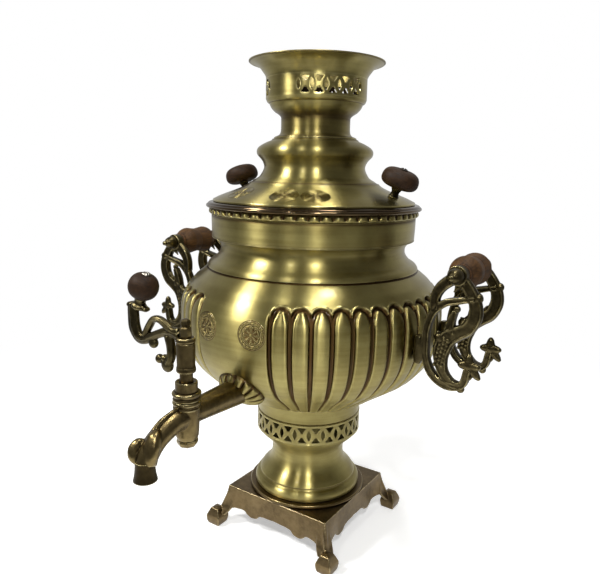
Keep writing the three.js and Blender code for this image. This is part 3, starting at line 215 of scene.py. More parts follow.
def tube(line, widths, thicks, sides=14, power=2.0, flat_normal=(0, 1, 0)):
    """A closed bar along a line. Its section is a superellipse, as thick as thicks along flat_normal."""
    line = np.asarray(line, float)
    along = headings(line)
    across = np.cross(along, np.asarray(flat_normal, float))
    across /= np.linalg.norm(across, axis=1)[:, None]
    angles = np.arange(sides) * TAU / sides
    rings = line[:, None]
    for way, size, wave in (
        (across, widths, np.cos(angles)), (np.cross(across, along), thicks, np.sin(angles)),
    ):
        half = np.broadcast_to(np.asarray(size, float), (len(line),))[:, None, None] / 2
        rings = rings + way[:, None] * half * (np.sign(wave) * np.abs(wave) ** (2 / power))[:, None]
    vertices = np.vstack([rings.reshape(-1, 3), line[0], line[-1]])
    faces = [*grid_faces(len(line), sides)]
    start, end, last = len(vertices) - 2, len(vertices) - 1, (len(line) - 1) * sides
    for i in range(sides):
        j = (i + 1) % sides
        faces += [(start, j, i), (end, last + i, last + j)]
    return Shape().add(vertices, faces)


def ball(centre, radii, sides=20, rows=14):
    line = [(math.sin(a), -math.cos(a)) for a in np.linspace(0, math.pi, rows)]
    line[0], line[-1] = (0, -1), (0, 1)
    unit = turned(line, sides, loop=False)
    return unit.placed(Matrix.Translation(Vector(centre)) @ Matrix.Diagonal((*radii, 1)))


def place_along(foot, top):
    """A matrix that stands a turning on a foot point with its +Z toward a top point."""
    foot, top = Vector(foot), Vector(top)
    turn = Vector((0, 0, 1)).rotation_difference((top - foot).normalized()).to_matrix().to_4x4()
    return Matrix.Translation(foot) @ turn


# Pieces: the looks, and the objects made in them

LOOKS = {}


def curvature(mesh):
    """How hollow and how sharp the surface is at each vertex, in 1/mm: hollow is above 0."""
    count = len(mesh.vertices)
    places, normals = np.empty(count * 3), np.empty(count * 3)
    mesh.vertices.foreach_get("co", places)
    mesh.vertices.foreach_get("normal", normals)
    places, normals = places.reshape(-1, 3) / MM, normals.reshape(-1, 3)
    edges = np.empty(len(mesh.edges) * 2, int)
    mesh.edges.foreach_get("vertices", edges)
    a, b = edges.reshape(-1, 2).T
    step = places[b] - places[a]
    length = np.maximum((step ** 2).sum(1), 1e-4)
    total = np.bincount(a, (step * normals[a]).sum(1) / length, count)
    total += np.bincount(b, -(step * normals[b]).sum(1) / length, count)
    shared = np.maximum(np.bincount(a, minlength=count) + np.bincount(b, minlength=count), 1)
    bend = 2 * total / shared
    for _ in range(3):
        near = np.bincount(a, bend[b], count) + np.bincount(b, bend[a], count)
        bend = 0.5 * bend + 0.5 * near / shared
    return bend


def mesh_of(name, shape):
    """A shape's mesh, moved into the frame."""
    mesh = bpy.data.meshes.new(name)
    vertices = np.vstack(shape.vertices) * MM + np.array([0, AXIS_Y, 0])
    mesh.from_pydata(vertices.tolist(), [], shape.faces)
    mesh.update()
    return mesh


def stand(name, mesh, stains, sharp, node, body):
    """Marks a mesh's hollows together with its given darkening, which on some pieces is painted shade, and
    its edges, and makes an object of it that rides on its body.
    """
    bend = curvature(mesh)
    for kind, values in (
        ("hollow", np.maximum(smoothstep(0.08, 0.7, bend), stains)), ("edge", smoothstep(0.12, 0.8, -bend)),
    ):
        mark = mesh.attributes.new(kind, "FLOAT", "POINT")
        mark.data.foreach_set("value", np.ascontiguousarray(values, np.float32))
    mesh.polygons.foreach_set("use_smooth", np.ones(len(mesh.polygons), bool))
    mesh.set_sharp_from_angle(angle=math.radians(sharp))
    made = bpy.data.objects.new(name, mesh)
    bpy.context.scene.collection.objects.link(made)
    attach(made, body)
    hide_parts(node)


def piece(name, shape, look, node, body="stand", sharp=38, lining=None):
    """Makes an object of a shape, in one look, or two when it has a lining."""
    mesh = mesh_of(name, shape)
    for kind in (look, lining) if lining else (look,):
        mesh.materials.append(LOOKS[kind])
    mesh.polygons.foreach_set("material_index", np.array(shape.looks, np.int32))
    mesh.validate()
    stand(name, mesh, np.concatenate(shape.stains), sharp, node, body)


def casting(name, shape, voxel, look, node, body="stand", smooth=3):
    """Melts overlapping closed shapes into one casting with soft inner corners."""
    raw = bpy.data.objects.new(name + "_raw", mesh_of(name, shape))
    bpy.context.scene.collection.objects.link(raw)
    melt = raw.modifiers.new("melt", "REMESH")
    melt.mode = "VOXEL"
    melt.voxel_size = voxel * MM
    soften = raw.modifiers.new("soften", "SMOOTH")
    soften.factor = 0.5
    soften.iterations = smooth
    graph = bpy.context.evaluated_depsgraph_get()
    result = bpy.data.meshes.new_from_object(raw.evaluated_get(graph))
    result.name = name
    bpy.data.objects.remove(raw)
    result.materials.clear()
    result.materials.append(LOOKS[look])
    stand(name, result, np.zeros(len(result.vertices)), 60, node, body)


# Materials


class Graph:
    """A short way to write shader nodes."""

    def __init__(self, owner):
        owner.use_nodes = True
        self.tree = owner.node_tree
        self.tree.nodes.clear()

    def node(self, kind, inputs=(), **settings):
        """Makes a node from its settings and from values or links for its inputs; gives its outputs."""
        made = self.tree.nodes.new("ShaderNode" + kind)
        for name, value in settings.items():
            setattr(made, name, value)
        for name, value in dict(inputs).items():
            if isinstance(value, bpy.types.NodeSocket):
                self.tree.links.new(value, made.inputs[name])
            else:
                made.inputs[name].default_value = value
        return made.outputs

    def math(self, operation, *values, clamp=False):
        return self.node("Math", enumerate(values), operation=operation, use_clamp=clamp)[0]

    def plus(self, *values):
        return functools.reduce(functools.partial(self.math, "ADD"), values)

    def times(self, first, second, clamp=False):
        return self.math("MULTIPLY", first, second, clamp=clamp)

    def place(self):
        """The place in the frame, whole and split into its three parts."""
        whole = self.node("TexCoord")["Object"]
        return whole, self.node("SeparateXYZ", {0: whole})

    def round_place(self, places):
        """Cosine and sine of the angle round the urn's axis, and the radius."""
        x, y = places[0], self.math("SUBTRACT", places[1], AXIS_Y)
        radius = self.math("POWER", self.plus(self.times(x, x), self.times(y, y)), 0.5)
        safe = self.math("MAXIMUM", radius, 0.0005)
        return self.math("DIVIDE", x, safe), self.math("DIVIDE", y, safe), radius

    def noise(self, vector, scale, detail=3.0, rough=0.55):
        inputs = {"Vector": vector, "Scale": scale, "Detail": detail, "Roughness": rough}
        return self.node("TexNoise", inputs)["Fac"]

    def stretched_noise(self, places, shares, *noise):
        """Noise in places that are scaled along each axis."""
        scaled = [self.times(part, share) for part, share in zip(places, shares)]
        return self.noise(self.node("CombineXYZ", enumerate(scaled))[0], *noise)

    def spread(self, value, low, high):
        inputs = {"Value": value, "From Min": low, "From Max": high}
        return self.node("MapRange", inputs, interpolation_type="SMOOTHSTEP")["Result"]

    def two_noises(self, first, share, second, low=0.3, high=0.7):
        """Two noises as one tone, the first with its own range of (low, high)."""
        first, second = self.spread(*first), self.spread(second, low, high)
        return self.plus(self.times(first, share), self.times(second, 1 - share))

    def mix(self, share, first, second):
        return self.node("Mix", {"Factor": share, "A": first, "B": second}, data_type="RGBA")["Result"]

    def attribute(self, name):
        return self.node("Attribute", attribute_name=name)["Fac"]

    def bump(self, height, strength, distance, **under):
        inputs = {"Strength": strength, "Distance": distance, "Height": height, **under}
        return self.node("Bump", inputs)["Normal"]

    def finish(self, inputs):
        self.node("OutputMaterial", {"Surface": self.node("BsdfPrincipled", inputs)["BSDF"]})


def new_look(name):
    LOOKS[name] = bpy.data.materials.new(name)
    return Graph(LOOKS[name])


def colour(display):
    """A display colour in 0 to 255 as linear light."""
    linear = [v / 12.92 if v <= 0.04045 else ((v + 0.055) / 1.055) ** 2.4 for v in np.array(display) / 255]
    return (*linear, 1.0)


def turned_metal(name, tones, roughness, brushing, anisotropy):
    """Satin metal brushed round the urn's axis, with patina in its hollows, painted shade where a piece
    darkens its creases and joints, and bright worn edges.
    """
    light, dark, patina, polish = map(colour, tones)
    g = new_look(name)
    place, places = g.place()
    cosine, sine, radius = g.round_place(places)
    round_places = cosine, sine, g.plus(places[2], g.times(radius, 0.7))
    fine = g.stretched_noise(round_places, (0.6, 0.6, 2600.0), 1.0, 2.0)
    broad = g.stretched_noise(round_places, (0.9, 0.9, 240.0), 1.0, 3.0)
    cloud = g.noise(place, 26.0, 4.0, 0.6)
    fleck = g.noise(place, 420.0, 3.0, 0.6)
    base = g.mix(g.two_noises((cloud, 0.3, 0.7), 0.55, broad, 0.25, 0.75), dark, light)
    base = g.mix(g.times(g.spread(fleck, 0.62, 0.78), 0.28), base, patina)
    # The patina tone goes into the hollows as patina, and into the marked creases and joints as painted
    # shade.
    patina_and_shade = g.times(g.attribute("hollow"), g.plus(0.72, g.times(cloud, 0.5)), clamp=True)
    worn = g.times(g.attribute("edge"), 0.7, clamp=True)
    rough = g.plus(roughness - 0.07, g.times(broad, 0.1), g.times(cloud, 0.06), g.times(patina_and_shade, 0.22))
    scratch = g.bump(fine, 0.16 * brushing, 0.00012)
    inputs = {
        "Base Color": g.mix(worn, g.mix(patina_and_shade, base, patina), polish),
        "Metallic": 1.0,
        "Roughness": g.math("SUBTRACT", rough, g.times(worn, 0.08), clamp=True),
        "Normal": g.bump(g.noise(place, 60.0, 2.0), 0.12, 0.0006, Normal=scratch),
    }
    if anisotropy:
        inputs |= {
            "Coat Weight": 0.12, "Coat Roughness": 0.12,
            "Anisotropic": anisotropy, "Anisotropic Rotation": 0.25,
            "Tangent": g.node("Tangent", direction_type="RADIAL", axis="Z")[0],
        }
    g.finish(inputs)


def cast_metal(name, tones, roughness, grain):
    """A dull sand casting: clouded, pitted, dark in its hollows and rubbed bright on its edges."""
    light, dark, patina, polish = map(colour, tones)
    g = new_look(name)
    place, _ = g.place()
    cloud = g.noise(place, 38.0, 5.0, 0.62)
    spot = g.noise(place, 210.0, 4.0, 0.6)
    pit = g.noise(place, 1300.0, 3.0, 0.6)
    hollow = g.times(g.attribute("hollow"), g.plus(0.6, spot), clamp=True)
    base = g.mix(hollow, g.mix(g.two_noises((cloud, 0.32, 0.68), 0.6, spot), dark, light), patina)
    worn = g.times(g.attribute("edge"), g.spread(spot, 0.2, 0.7), clamp=True)
    rough = g.plus(roughness - 0.08, g.times(spot, 0.16), g.times(hollow, 0.2))
    g.finish({
        "Base Color": g.mix(g.times(worn, 0.85), base, polish),
        "Metallic": 1.0,
        "Roughness": g.math("SUBTRACT", rough, g.times(worn, 0.12), clamp=True),
        "Normal": g.bump(pit, 0.22 * grain, 0.00025, Normal=g.bump(spot, 0.25 * grain, 0.0009)),
    })


def wood(name, tones, squeeze):
    """Dark turned wood with its grain along the squeezed axis, worn to a dull polish."""
    light, dark, grime, polish = map(colour, tones)
    g = new_look(name)
    place, places = g.place()
    grain = g.stretched_noise(places, squeeze, 700.0, 4.0, 0.6)
    figure = g.stretched_noise(places, squeeze, 160.0, 3.0, 0.5)
    base = g.mix(g.two_noises((figure, 0.3, 0.7), 0.55, grain, 0.3, 0.72), dark, light)
    base = g.mix(g.times(g.attribute("hollow"), 0.8, clamp=True), base, grime)
    g.finish({
        "Base Color": g.mix(g.times(g.attribute("edge"), 0.35, clamp=True), base, polish),
        "Roughness": g.plus(g.plus(0.42, g.times(grain, 0.22)), g.times(g.noise(place, 60.0, 2.0), 0.08)),
        "Specular IOR Level": 0.14,
        "Normal": g.bump(grain, 0.3, 0.0003),
    })


# Each look's tones are its light and its dark one, its patina or grime (in the turned metals also the colour
# of painted shade), and its polish.
for name, tones, *finish in (
    ("brass", [(174, 162, 102), (134, 121, 70), (84, 61, 32), (206, 194, 134)], 0.36, 1.0, 0.95),
    ("ring_bronze", [(92, 76, 54), (64, 51, 36), (36, 27, 18), (150, 130, 94)], 0.15, 0.3, 0.0),
    ("flange_bronze", [(112, 94, 60), (80, 64, 40), (38, 28, 17), (178, 158, 108)], 0.3, 1.0, 0.3),
    ("soot", [(36, 27, 18), (20, 15, 11), (12, 9, 7), (56, 46, 31)], 0.62, 1.0, 0.0),
):
    turned_metal(name, tones, *finish)
for name, tones, *finish in (
    ("base_bronze", [(128, 110, 78), (88, 74, 52), (44, 34, 21), (196, 178, 136)], 0.36, 0.5),
    ("tap_bronze", [(128, 112, 74), (78, 66, 43), (36, 28, 17), (208, 194, 142)], 0.32, 0.6),
    ("handle_bronze", [(96, 86, 58), (50, 44, 28), (18, 15, 9), (168, 156, 112)], 0.36, 1.2),
    ("steel", [(150, 144, 132), (112, 106, 96), (50, 44, 36), (206, 202, 192)], 0.36, 0.5),
    ("iron", [(62, 56, 50), (38, 34, 30), (20, 18, 16), (100, 94, 86)], 0.62, 1.2),
):
    cast_metal(name, tones, *finish)
wood("knob_wood", [(55, 37, 21), (30, 20, 12), (24, 15, 12), (86, 55, 38)], (0.12, 1, 1))
wood("grip_wood", [(86, 60, 34), (44, 30, 17), (24, 15, 12), (86, 55, 38)], (1, 0.12, 1))


# Foot: base casting, flange and bell

STAND_TOP = 39.7
PLATE_HALF = 57
PLATE_THICK = 3.2
PLATE_HOLE = 30
PLATE_SIDES = 96
APRON_THICK = 3
APRON_ROWS = 6
APRON_EDGE = [
    (0, 19.4), (8, 18.9), (14, 18.6), (19, 17.4), (21.5, 14.6), (25, 13.4), (30, 13.2), (33.5, 15.2),
    (36, 18), (40, 19), (45, 18.6), (50, 16.8), (54, 14.4), (57, 13.6),
]
LEG_HEIGHTS = (11, 14.4, 18, 22.6, 28, 33.5, 38.5)
LEG_FLARES = (13.8, 11, 7.8, 5.4, 3.4, 1.6, 0)
LEG_LINE = [
    (80.3, 38, 4), (83.7, 28, 5.6), (85.8, 22.6, 7), (88.3, 18, 7.8), (91.6, 14.4, 8), (94.4, 11, 7.6),
]
# The leg's inside lies this far behind its faces, in from their edges, and behind its corner.
LEG_WALL = 2.6
LEG_EDGE = 0.8
LEG_CORNER = 5.4
HOOF_LINE = [(0, 0), (9.2, 0), (10.6, 3), (11.4, 7.4), (11, 9.4), (8.6, 13.4), (6.6, 16.6), (0, 18)]
HOOF_OUT = 92.4


def plate():
    """The square plate with its round hole."""
    angle = np.arange(PLATE_SIDES) * TAU / PLATE_SIDES
    square = (PLATE_HALF - 0.2) / np.maximum(np.abs(np.cos(angle)), np.abs(np.sin(angle)))
    low = STAND_TOP - PLATE_THICK
    rings = []
    for radius, z in ((PLATE_HOLE, low), (square, low), (square, STAND_TOP), (PLATE_HOLE, STAND_TOP)):
        rings.append(np.stack(np.broadcast_arrays(radius * np.cos(angle), radius * np.sin(angle), z), 1))
    return Shape().add(np.vstack(rings), grid_faces(len(rings), PLATE_SIDES, loop=True))


def apron():
    """One side's apron under the plate, whose ends flare out with the legs."""
    edge = spline(APRON_EDGE, 0.7)
    along, low = np.vstack([edge[:0:-1] * [-1, 1], edge]).T
    corner = 1 - smoothstep(1, 26, PLATE_HALF - np.abs(along))
    shares = [*np.linspace(1, 0, APRON_ROWS)]
    rows = []
    for back, share in zip([0] * APRON_ROWS + [APRON_THICK] * APRON_ROWS, shares + shares[::-1]):
        z = STAND_TOP + (low - STAND_TOP) * share
        shift = np.interp(z, LEG_HEIGHTS, LEG_FLARES) * corner / math.sqrt(2)
        rows.append(np.stack([along + np.sign(along) * shift, back - PLATE_HALF - shift, z], 1))
    columns = len(along)
    ends = [row * columns for row in range(len(rows))]
    faces = [*grid_faces(len(rows), columns, wrap=False, loop=True)]
    faces += [ends, [end + columns - 1 for end in ends[::-1]]]
    return Shape().add(np.vstack(rows), faces)


def leg():
    """The corner's two faces go on down as an angle, and end in a four-sided hoof."""
    rings = []
    for out, z, half in spline(LEG_LINE, 0.7):
        side = out - half
        rings += [(out, 0, z), (side, half, z), (side - LEG_WALL, half - LEG_EDGE, z)]
        rings += [(out - LEG_CORNER, 0, z), (side - LEG_WALL, LEG_EDGE - half, z), (side, -half, z)]
    corners, count = 6, len(rings)
    faces = [*grid_faces(count // corners, corners)[:, ::-1]]
    faces += [range(corners), range(count - 1, count - 1 - corners, -1)]
    hoof = turned(HOOF_LINE, 4, loop=False).placed(Matrix.Translation((HOOF_OUT, 0, 0)))
    return Shape().add(rings, faces).merge(hoof)


def base_casting():
    shape = plate()
    side, corner = apron(), leg()
    for quarter in range(4):
        shape.merge(side.placed(Matrix.Rotation(quarter * TAU / 4, 4, "Z")))
        shape.merge(corner.placed(Matrix.Rotation((quarter + 0.5) * TAU / 4, 4, "Z")))
    casting("base_casting", shape, 0.6, "base_bronze", "base_stand", smooth=1)


def foot():
    flange = outline([(40, 40), (57, 40)], [(58, 41.2), (58, 42.2), (57.2, 43.3)], [(40, 43.4)], fillet=0.3)
    piece("foot_plate", turned(flange), "flange_bronze", "foot_flange")
    outer = outline(
        [(50.9, 43.7), (51.9, 44), (52.1, 44.8)], [(52.7, 46.6), (52.6, 48.8), (51.6, 51), (50, 52.4)],
        [(48.3, 53), (47.4, 54), (47.3, 55.2)], [(48, 55.8), (47.7, 56.5)],
        [(45.6, 59.5), (43.4, 61.9), (41.2, 64.1), (39.2, 66.4), (37.6, 69.2), (36.5, 72.4), (35.9, 76),
         (35.9, 80), (36.4, 84), (37.3, 86.6), (38.7, 88.9), (40.6, 91.2), (42.8, 93.4), (45.2, 95.6),
         (47.4, 97.8), (49.1, 99.9), (50.1, 102.1)],
        fillet=0.5, closed=False,
    )
    bell = turned(np.vstack([outer, inset(outer, SHEET)[-2:0:-1]]))
    piece("bell", bell, "brass", "foot_bell", sharp=50)


# Pierced galleries: equal circles overlap in upright lenses. The lenses, and the fields above and below
# each crossing, are cut away.

GALLERY_PITCHES = 24
PITCH_ANGLE = TAU / GALLERY_PITCHES
GALLERY_RADIUS = 51.2
GALLERY_BASE = 102.4
GALLERY_HEIGHT = 18.4
GALLERY_START = 3.5
CROWN_RADIUS = 46
CROWN_BASE = 417.5
CROWN_HEIGHT = 17
CROWN_START = 12.8
CROWN_GROUPS = 3
CROWN_GROUP_PITCHES = 5
LENS = [(0, 1), (0.55, 0.62), (0.9, 0.28), (1, 0), (0.9, -0.28), (0.55, -0.62), (0, -1)]
FIELD = [
    (0, 0.275), (0.115, 0.3), (0.2, 0.375), (0.3, 0.52), (0.43, 0.7), (0.585, 0.865), (0.6, 0.925),
    (0.54, 0.965), (0.3, 1), (0, 1.01),
]
WEB_GRAIN = 0.85
RIM_WIDTH = 0.32
SPOT_CLEAR = 0.75
RIM_CLEAR = 0.2


def inside(points, polygon):
    x, y = points[:, :1], points[:, 1:]
    (x0, y0), (x1, y1) = polygon.T, np.roll(polygon, -1, axis=0).T
    with np.errstate(divide="ignore", invalid="ignore"):
        crosses = ((y0 > y) != (y1 > y)) & (x < (x1 - x0) * (y - y0) / (y1 - y0) + x0)
    return crosses.sum(1) % 2 == 1


def gap_to(points, lines):
    nearest = np.full(len(points), 1e9)
    for line in lines:
        for a, b in zip(line, np.roll(line, -1, axis=0)):
            run = b - a
            t = np.clip(((points - a) @ run) / max(run @ run, 1e-9), 0, 1)
            nearest = np.minimum(nearest, np.linalg.norm(points - (a + t[:, None] * run), axis=1))
    return nearest


def tile(pitch, half_height, lens_half, lens_rise, field_rise, pitches=1, pierced=True):
    """A flat stretch of the band between two lens middles: points, triangles, and how near each point is to
    a cut."""
    width = pitch * pitches
    lens = spline(np.array(LENS) * [lens_half, lens_rise], 0.7)
    lens[0], lens[-1] = (0, lens_rise), (0, -lens_rise)
    far_lens = lens * [-1, 1] + [width, 0]
    stub = np.linspace(-half_height, -lens_rise, 4)
    half = [(x, -half_height) for x in np.linspace(0, width, round(width) + 1)]
    half += [(width, y) for y in stub[1:]] + [*far_lens[-2:0:-1]] + [(width, -y) for y in stub[:0:-1]]
    border = np.vstack([half, [width, 0] - np.array(half)])
    holes = []
    side = spline(np.array(FIELD) * [pitch / 2, field_rise], 0.6)
    for sign in (1, -1) if pierced else ():
        holes.append(np.vstack([side, side[-2:0:-1] * [-1, 1]]) * [1, sign] + [pitch / 2, 0])

    def on_web(places):
        cut_away = np.zeros(len(places), bool)
        for hole in holes:
            cut_away |= inside(places, hole)
        return inside(places, border) & ~cut_away

    xs = np.arange(0.5, width, WEB_GRAIN)
    ys = np.arange(0.6 - half_height, half_height - 0.3, WEB_GRAIN)
    spots = np.stack(np.meshgrid(xs, ys), -1).reshape(-1, 2)
    spots = spots[on_web(spots)]
    spots = spots[gap_to(spots, [border, *holes]) > SPOT_CLEAR]
    rims = []
    centres = [*(hole.mean(0) for hole in holes), [0, 0], [width, 0]]
    for loop, middle in zip([*holes, lens[1:-1], far_lens[1:-1]], centres):
        away = loop - middle
        rims.append(loop + away / np.linalg.norm(away, axis=1)[:, None] * RIM_WIDTH)
    rims = np.vstack(rims)
    rims = rims[inside(rims, border) & (gap_to(rims, [border, *holes]) > RIM_CLEAR)]
    edges, count = [], 0
    for loop in (border, *holes):
        edges += [(count + i, count + (i + 1) % len(loop)) for i in range(len(loop))]
        count += len(loop)
    points = [Vector(point) for point in np.vstack([border, *holes, rims, spots])]
    found = delaunay_2d_cdt(points, edges, [], 0, 1e-5)
    flat = np.array([(p.x, p.y) for p in found[0]])
    triangles = np.array([face for face in found[2] if len(face) == 3])
    return flat, triangles[on_web(flat[triangles].mean(1))], gap_to(flat, [lens, far_lens, *holes])


def gallery(tiles, radius, base, height):
    """Wraps (start angle, tile) pairs round the axis as a band of sheet with its cuts through."""
    shape = Shape()
    for start, (flat, triangles, near) in tiles:
        rows = []
        for side, round_off in ((radius, 0.14), (radius - SHEET, -0.05)):
            r = side - round_off * (1 - smoothstep(0, 0.34, near))
            rows.append(round_axis(r, start + flat[:, 0] / radius, base + height / 2 + flat[:, 1]))
        count, width = len(flat), flat[:, 0].max()
        edges = dict.fromkeys((p, q) for a, b, c in triangles for p, q in ((a, b), (b, c), (c, a)))
        walls = []
        for p, q in edges:
            ends = flat[[p, q], 0]
            if (q, p) not in edges and not (ends < 1e-4).all() and not (ends > width - 1e-4).all():
                walls.append((p + count, q + count, q, p))
        lining = triangles[:, [0, 2, 1]] + count
        looks = [0] * (len(triangles) + len(walls)) + [1] * len(lining)
        stain = 0.25 * (1 - smoothstep(0, 0.5, near))
        shape.add(np.vstack(rows), [*triangles, *walls, *lining], np.tile(stain, 2), looks)
    return shape


def pedestal():
    whole = tile(PITCH_ANGLE * GALLERY_RADIUS, GALLERY_HEIGHT / 2, 2.1, 5.45, 7.5)
    start = math.radians(GALLERY_START)
    tiles = [(start + i * PITCH_ANGLE, whole) for i in range(GALLERY_PITCHES)]
    band = gallery(tiles, GALLERY_RADIUS, GALLERY_BASE, GALLERY_HEIGHT)
    piece("gallery", band, "brass", "pedestal_band", sharp=40, lining="soot")
    rim = outline(
        [(48.2, 120.8), (50.9, 120.8)], [(51.35, 121.3), (50.6, 122)],
        [(51, 126), (51.8, 131), (52.9, 136)], [(50, 136)], [(48.2, 130), (48.2, 120.8)], fillet=0.25,
    )
    low_rim = [(49.2, 102.1), (50.6, 101.8), (51.3, 102.2), (51.2, 102.6)], [(49.2, 102.6)]
    rims = turned(rim).merge(turned(outline(*low_rim, fillet=0.2)))
    piece("plain_band", rims, "brass", "pedestal_band")


def crown():
    sizes = PITCH_ANGLE * CROWN_RADIUS, CROWN_HEIGHT / 2, 1.95, 5.05, 6.9
    pierced, plain = tile(*sizes), tile(*sizes, pitches=3, pierced=False)
    tiles = []
    for group in range(CROWN_GROUPS):
        first = math.radians(CROWN_START) + group * TAU / CROWN_GROUPS
        tiles += [(first + i * PITCH_ANGLE, pierced) for i in range(CROWN_GROUP_PITCHES)]
        tiles.append((first + CROWN_GROUP_PITCHES * PITCH_ANGLE, plain))
    shape = gallery(tiles, CROWN_RADIUS, CROWN_BASE, CROWN_HEIGHT)
    foot_line = outline(
        [(38.1, 382.7), (38.2, 383.6)],
        [(36.6, 384.4), (34.6, 385.2), (32.9, 386.6), (32.1, 388.6), (31.8, 391.5)], [(31.8, 400.6)],
        [(32.2, 402), (33.6, 403.5), (35.4, 404.8), (37.4, 406), (39.4, 407.8), (40.9, 409.6),
         (42.1, 411.8), (42.9, 413.6)],
        [(44.3, 414.2), (45.2, 415.4), (45.6, 416.4), (CROWN_RADIUS, CROWN_BASE)],
        fillet=0.4, closed=False,
    )
    inner = inset(foot_line, SHEET)[::-1]
    inner[0][1] = CROWN_BASE
    z = foot_line[:, 1]
    # Painted shade: darker under the bowl, a dark line at the foot where the crown stands in the lid's mouth,
    # and a darker neck between them.
    stain = 0.75 * np.exp(-((z - 402.2) / 3.4) ** 2) + 0.65 * np.exp(-(z - 384) ** 2)
    stain += 0.25 * smoothstep(385, 387, z) * (1 - smoothstep(400, 401, z))
    lower = turned(np.vstack([foot_line, inner]), 192, np.append(stain, np.full(len(inner), 0.4)))
    mouth_line = outline(
        [(46, 434.5), (46.1, 436.2), (46.9, 438), (48.1, 439.9), (49.6, 441.8), (51.1, 443.8),
         (53.2, 445.8), (56, 447.3), (58.8, 448.3), (61, 448.7)],
        [(61.65, 449.2), (61.6, 449.8), (61, 450)],
        [(58.6, 449.6), (55.6, 448.6), (52.4, 447), (50.2, 445), (48.6, 442.8), (47.1, 440.8),
         (45.8, 438.9), (44.9, 436.8), (44.7, 434.5)],
        fillet=0.25,
    )
    stain = smoothstep(60, 61, mouth_line[:, 0])
    stain[len(stain) // 2:] = np.maximum(stain[len(stain) // 2:], 0.35)
    shape.merge(lower, turned(mouth_line, 192, stain))
    piece("crown_rest", shape, "brass", "crown", "crown", 40, "soot")


# Belly: gadroons with arched heads, sunk grooves between them, and a plain panel in front

BELLY_LINE = spline([
    (53.2, 136.3), (63.8, 140.4), (70.5, 145), (77, 149.4), (84, 154), (91, 158.6), (98, 163.2),
    (103.5, 167.4), (108, 172), (111.8, 176.4), (114.8, 180.4), (117.3, 184.6), (119.8, 189.4),
    (122.3, 196.5), (124, 205), (124.65, 213), (124.8, 221), (124.55, 230), (123.5, 236), (121.9, 240.2),
    (119.8, 244.2), (117.1, 248.2), (114, 252), (110.6, 255.9), (106.6, 259.2), (103.2, 261.9), (100.4, 264),
], 0.5)
BELLY_RUN = lengths_along(BELLY_LINE)
BELLY_WALL = 4.6
PANEL_EDGE = math.radians(17.3)
PANEL_RADIUS = 124
LOBES = 21
PITCH = (math.pi - PANEL_EDGE) / LOBES
LOBE_SHARE = 0.765


def belly_at(run):
    """Radius, height and outward direction of the plain belly at a distance along its outline."""
    def place(at):
        return [np.interp(at, BELLY_RUN, BELLY_LINE[:, part]) for part in (0, 1)]

    along = np.stack(place(run + 0.6), -1) - np.stack(place(run - 0.6), -1)
    along = along / np.linalg.norm(along, axis=-1)[..., None]
    return *place(run), along[..., 1], -along[..., 0]


def run_at(height):
    return float(np.interp(height, BELLY_LINE[:, 1], BELLY_RUN))


HEAD_TOP = run_at(246.6)
HEAD_RISE = 13.5
ARCH_TOP = run_at(249.6)
ARCH_RISE = 8.2
ARCH_START = ARCH_TOP - ARCH_RISE
LOBE_SWELL = 1.5
GROOVE_SINK = 1
ARCH_BEAD = 0.45


def gadroon(angle, run, radius):
    """How far the belly stands off its outline, and how much patina darkens it."""
    past = np.abs(angle) - PANEL_EDGE
    lobe = np.floor(np.clip(past / PITCH, 0, LOBES - 0.5))
    side = np.abs(past - (lobe + 0.5) * PITCH) * radius
    half_pitch = PITCH / 2 * radius
    half_lobe = half_pitch * LOBE_SHARE
    head = np.maximum(run - (HEAD_TOP - HEAD_RISE), 0) / HEAD_RISE
    inner = np.sqrt((side / half_lobe) ** 2.1 + head ** 1.9)
    arch = np.maximum(run - ARCH_START, 0) / ARCH_RISE
    outer = np.sqrt((side / half_pitch) ** 2 * (arch > 0) + arch ** 2)
    outside = (inner - 1) * half_lobe
    swell = LOBE_SWELL * np.sqrt(np.clip(1 - inner ** 4, 0, 1))
    relief = np.where(inner < 1, swell, -GROOVE_SINK * smoothstep(0, 0.75, outside)) - LOBE_SWELL
    clear = (outer - 1) * half_pitch
    bead = ARCH_BEAD * np.exp(-((clear - 0.8) / 0.6) ** 2)
    relief = relief * (1 - smoothstep(-1.1, 0.25, clear)) + bead * (arch > 0)
    stain = smoothstep(-0.2, 0.55, outside) * (1 - smoothstep(-0.5, 0.4, clear))
    # The plain panel in front has no lobes, and the grooves beside it are one-sided.
    plain = past < 0
    shoulder = 1 - smoothstep(0.5, 2.2, np.abs(past) * radius)
    fade = 1 - smoothstep(ARCH_START - 3.5, ARCH_START + 2, run)
    relief = np.where(plain, -(LOBE_SWELL + GROOVE_SINK) * shoulder * fade, relief)
    stain = np.where(plain, smoothstep(0.1, 0.8, shoulder) * fade, stain)
    return relief * smoothstep(0.3, 3.4, run), stain * smoothstep(0.2, 1.6, run)


def belly_grid():
    """Distances along the outline and angles, close together where the relief is steep."""
    half = [-0.5, -0.47, -0.44, -0.41, -0.3825, -0.375, -0.36, -0.335, -0.3, -0.24, -0.16, -0.08, 0]
    offsets = np.append(half, [-offset for offset in half[-2:0:-1]])
    lobes = PANEL_EDGE + (np.arange(LOBES)[:, None] + 0.5 + offsets).reshape(-1) * PITCH
    panel = np.append([0.3, 0.6, 0.9, 1.2, 1.6, 2, 2.5], np.arange(4, 37, 1.5)) / PANEL_RADIUS
    plain = np.append(0, PANEL_EDGE - panel)
    angles = np.unique(np.concatenate([-lobes, -plain, plain, lobes, [math.pi]]).round(9))
    head, clear, end = HEAD_TOP - HEAD_RISE - 1, ARCH_TOP + 2, BELLY_RUN[-1]
    marks = ((0, 4, 0.5), (4, head, 1.5), (head, clear, 0.5), (clear, end, 0.9))
    runs = np.concatenate([*(np.arange(*mark) for mark in marks), [end]])
    return np.meshgrid(runs, angles, indexing="ij")


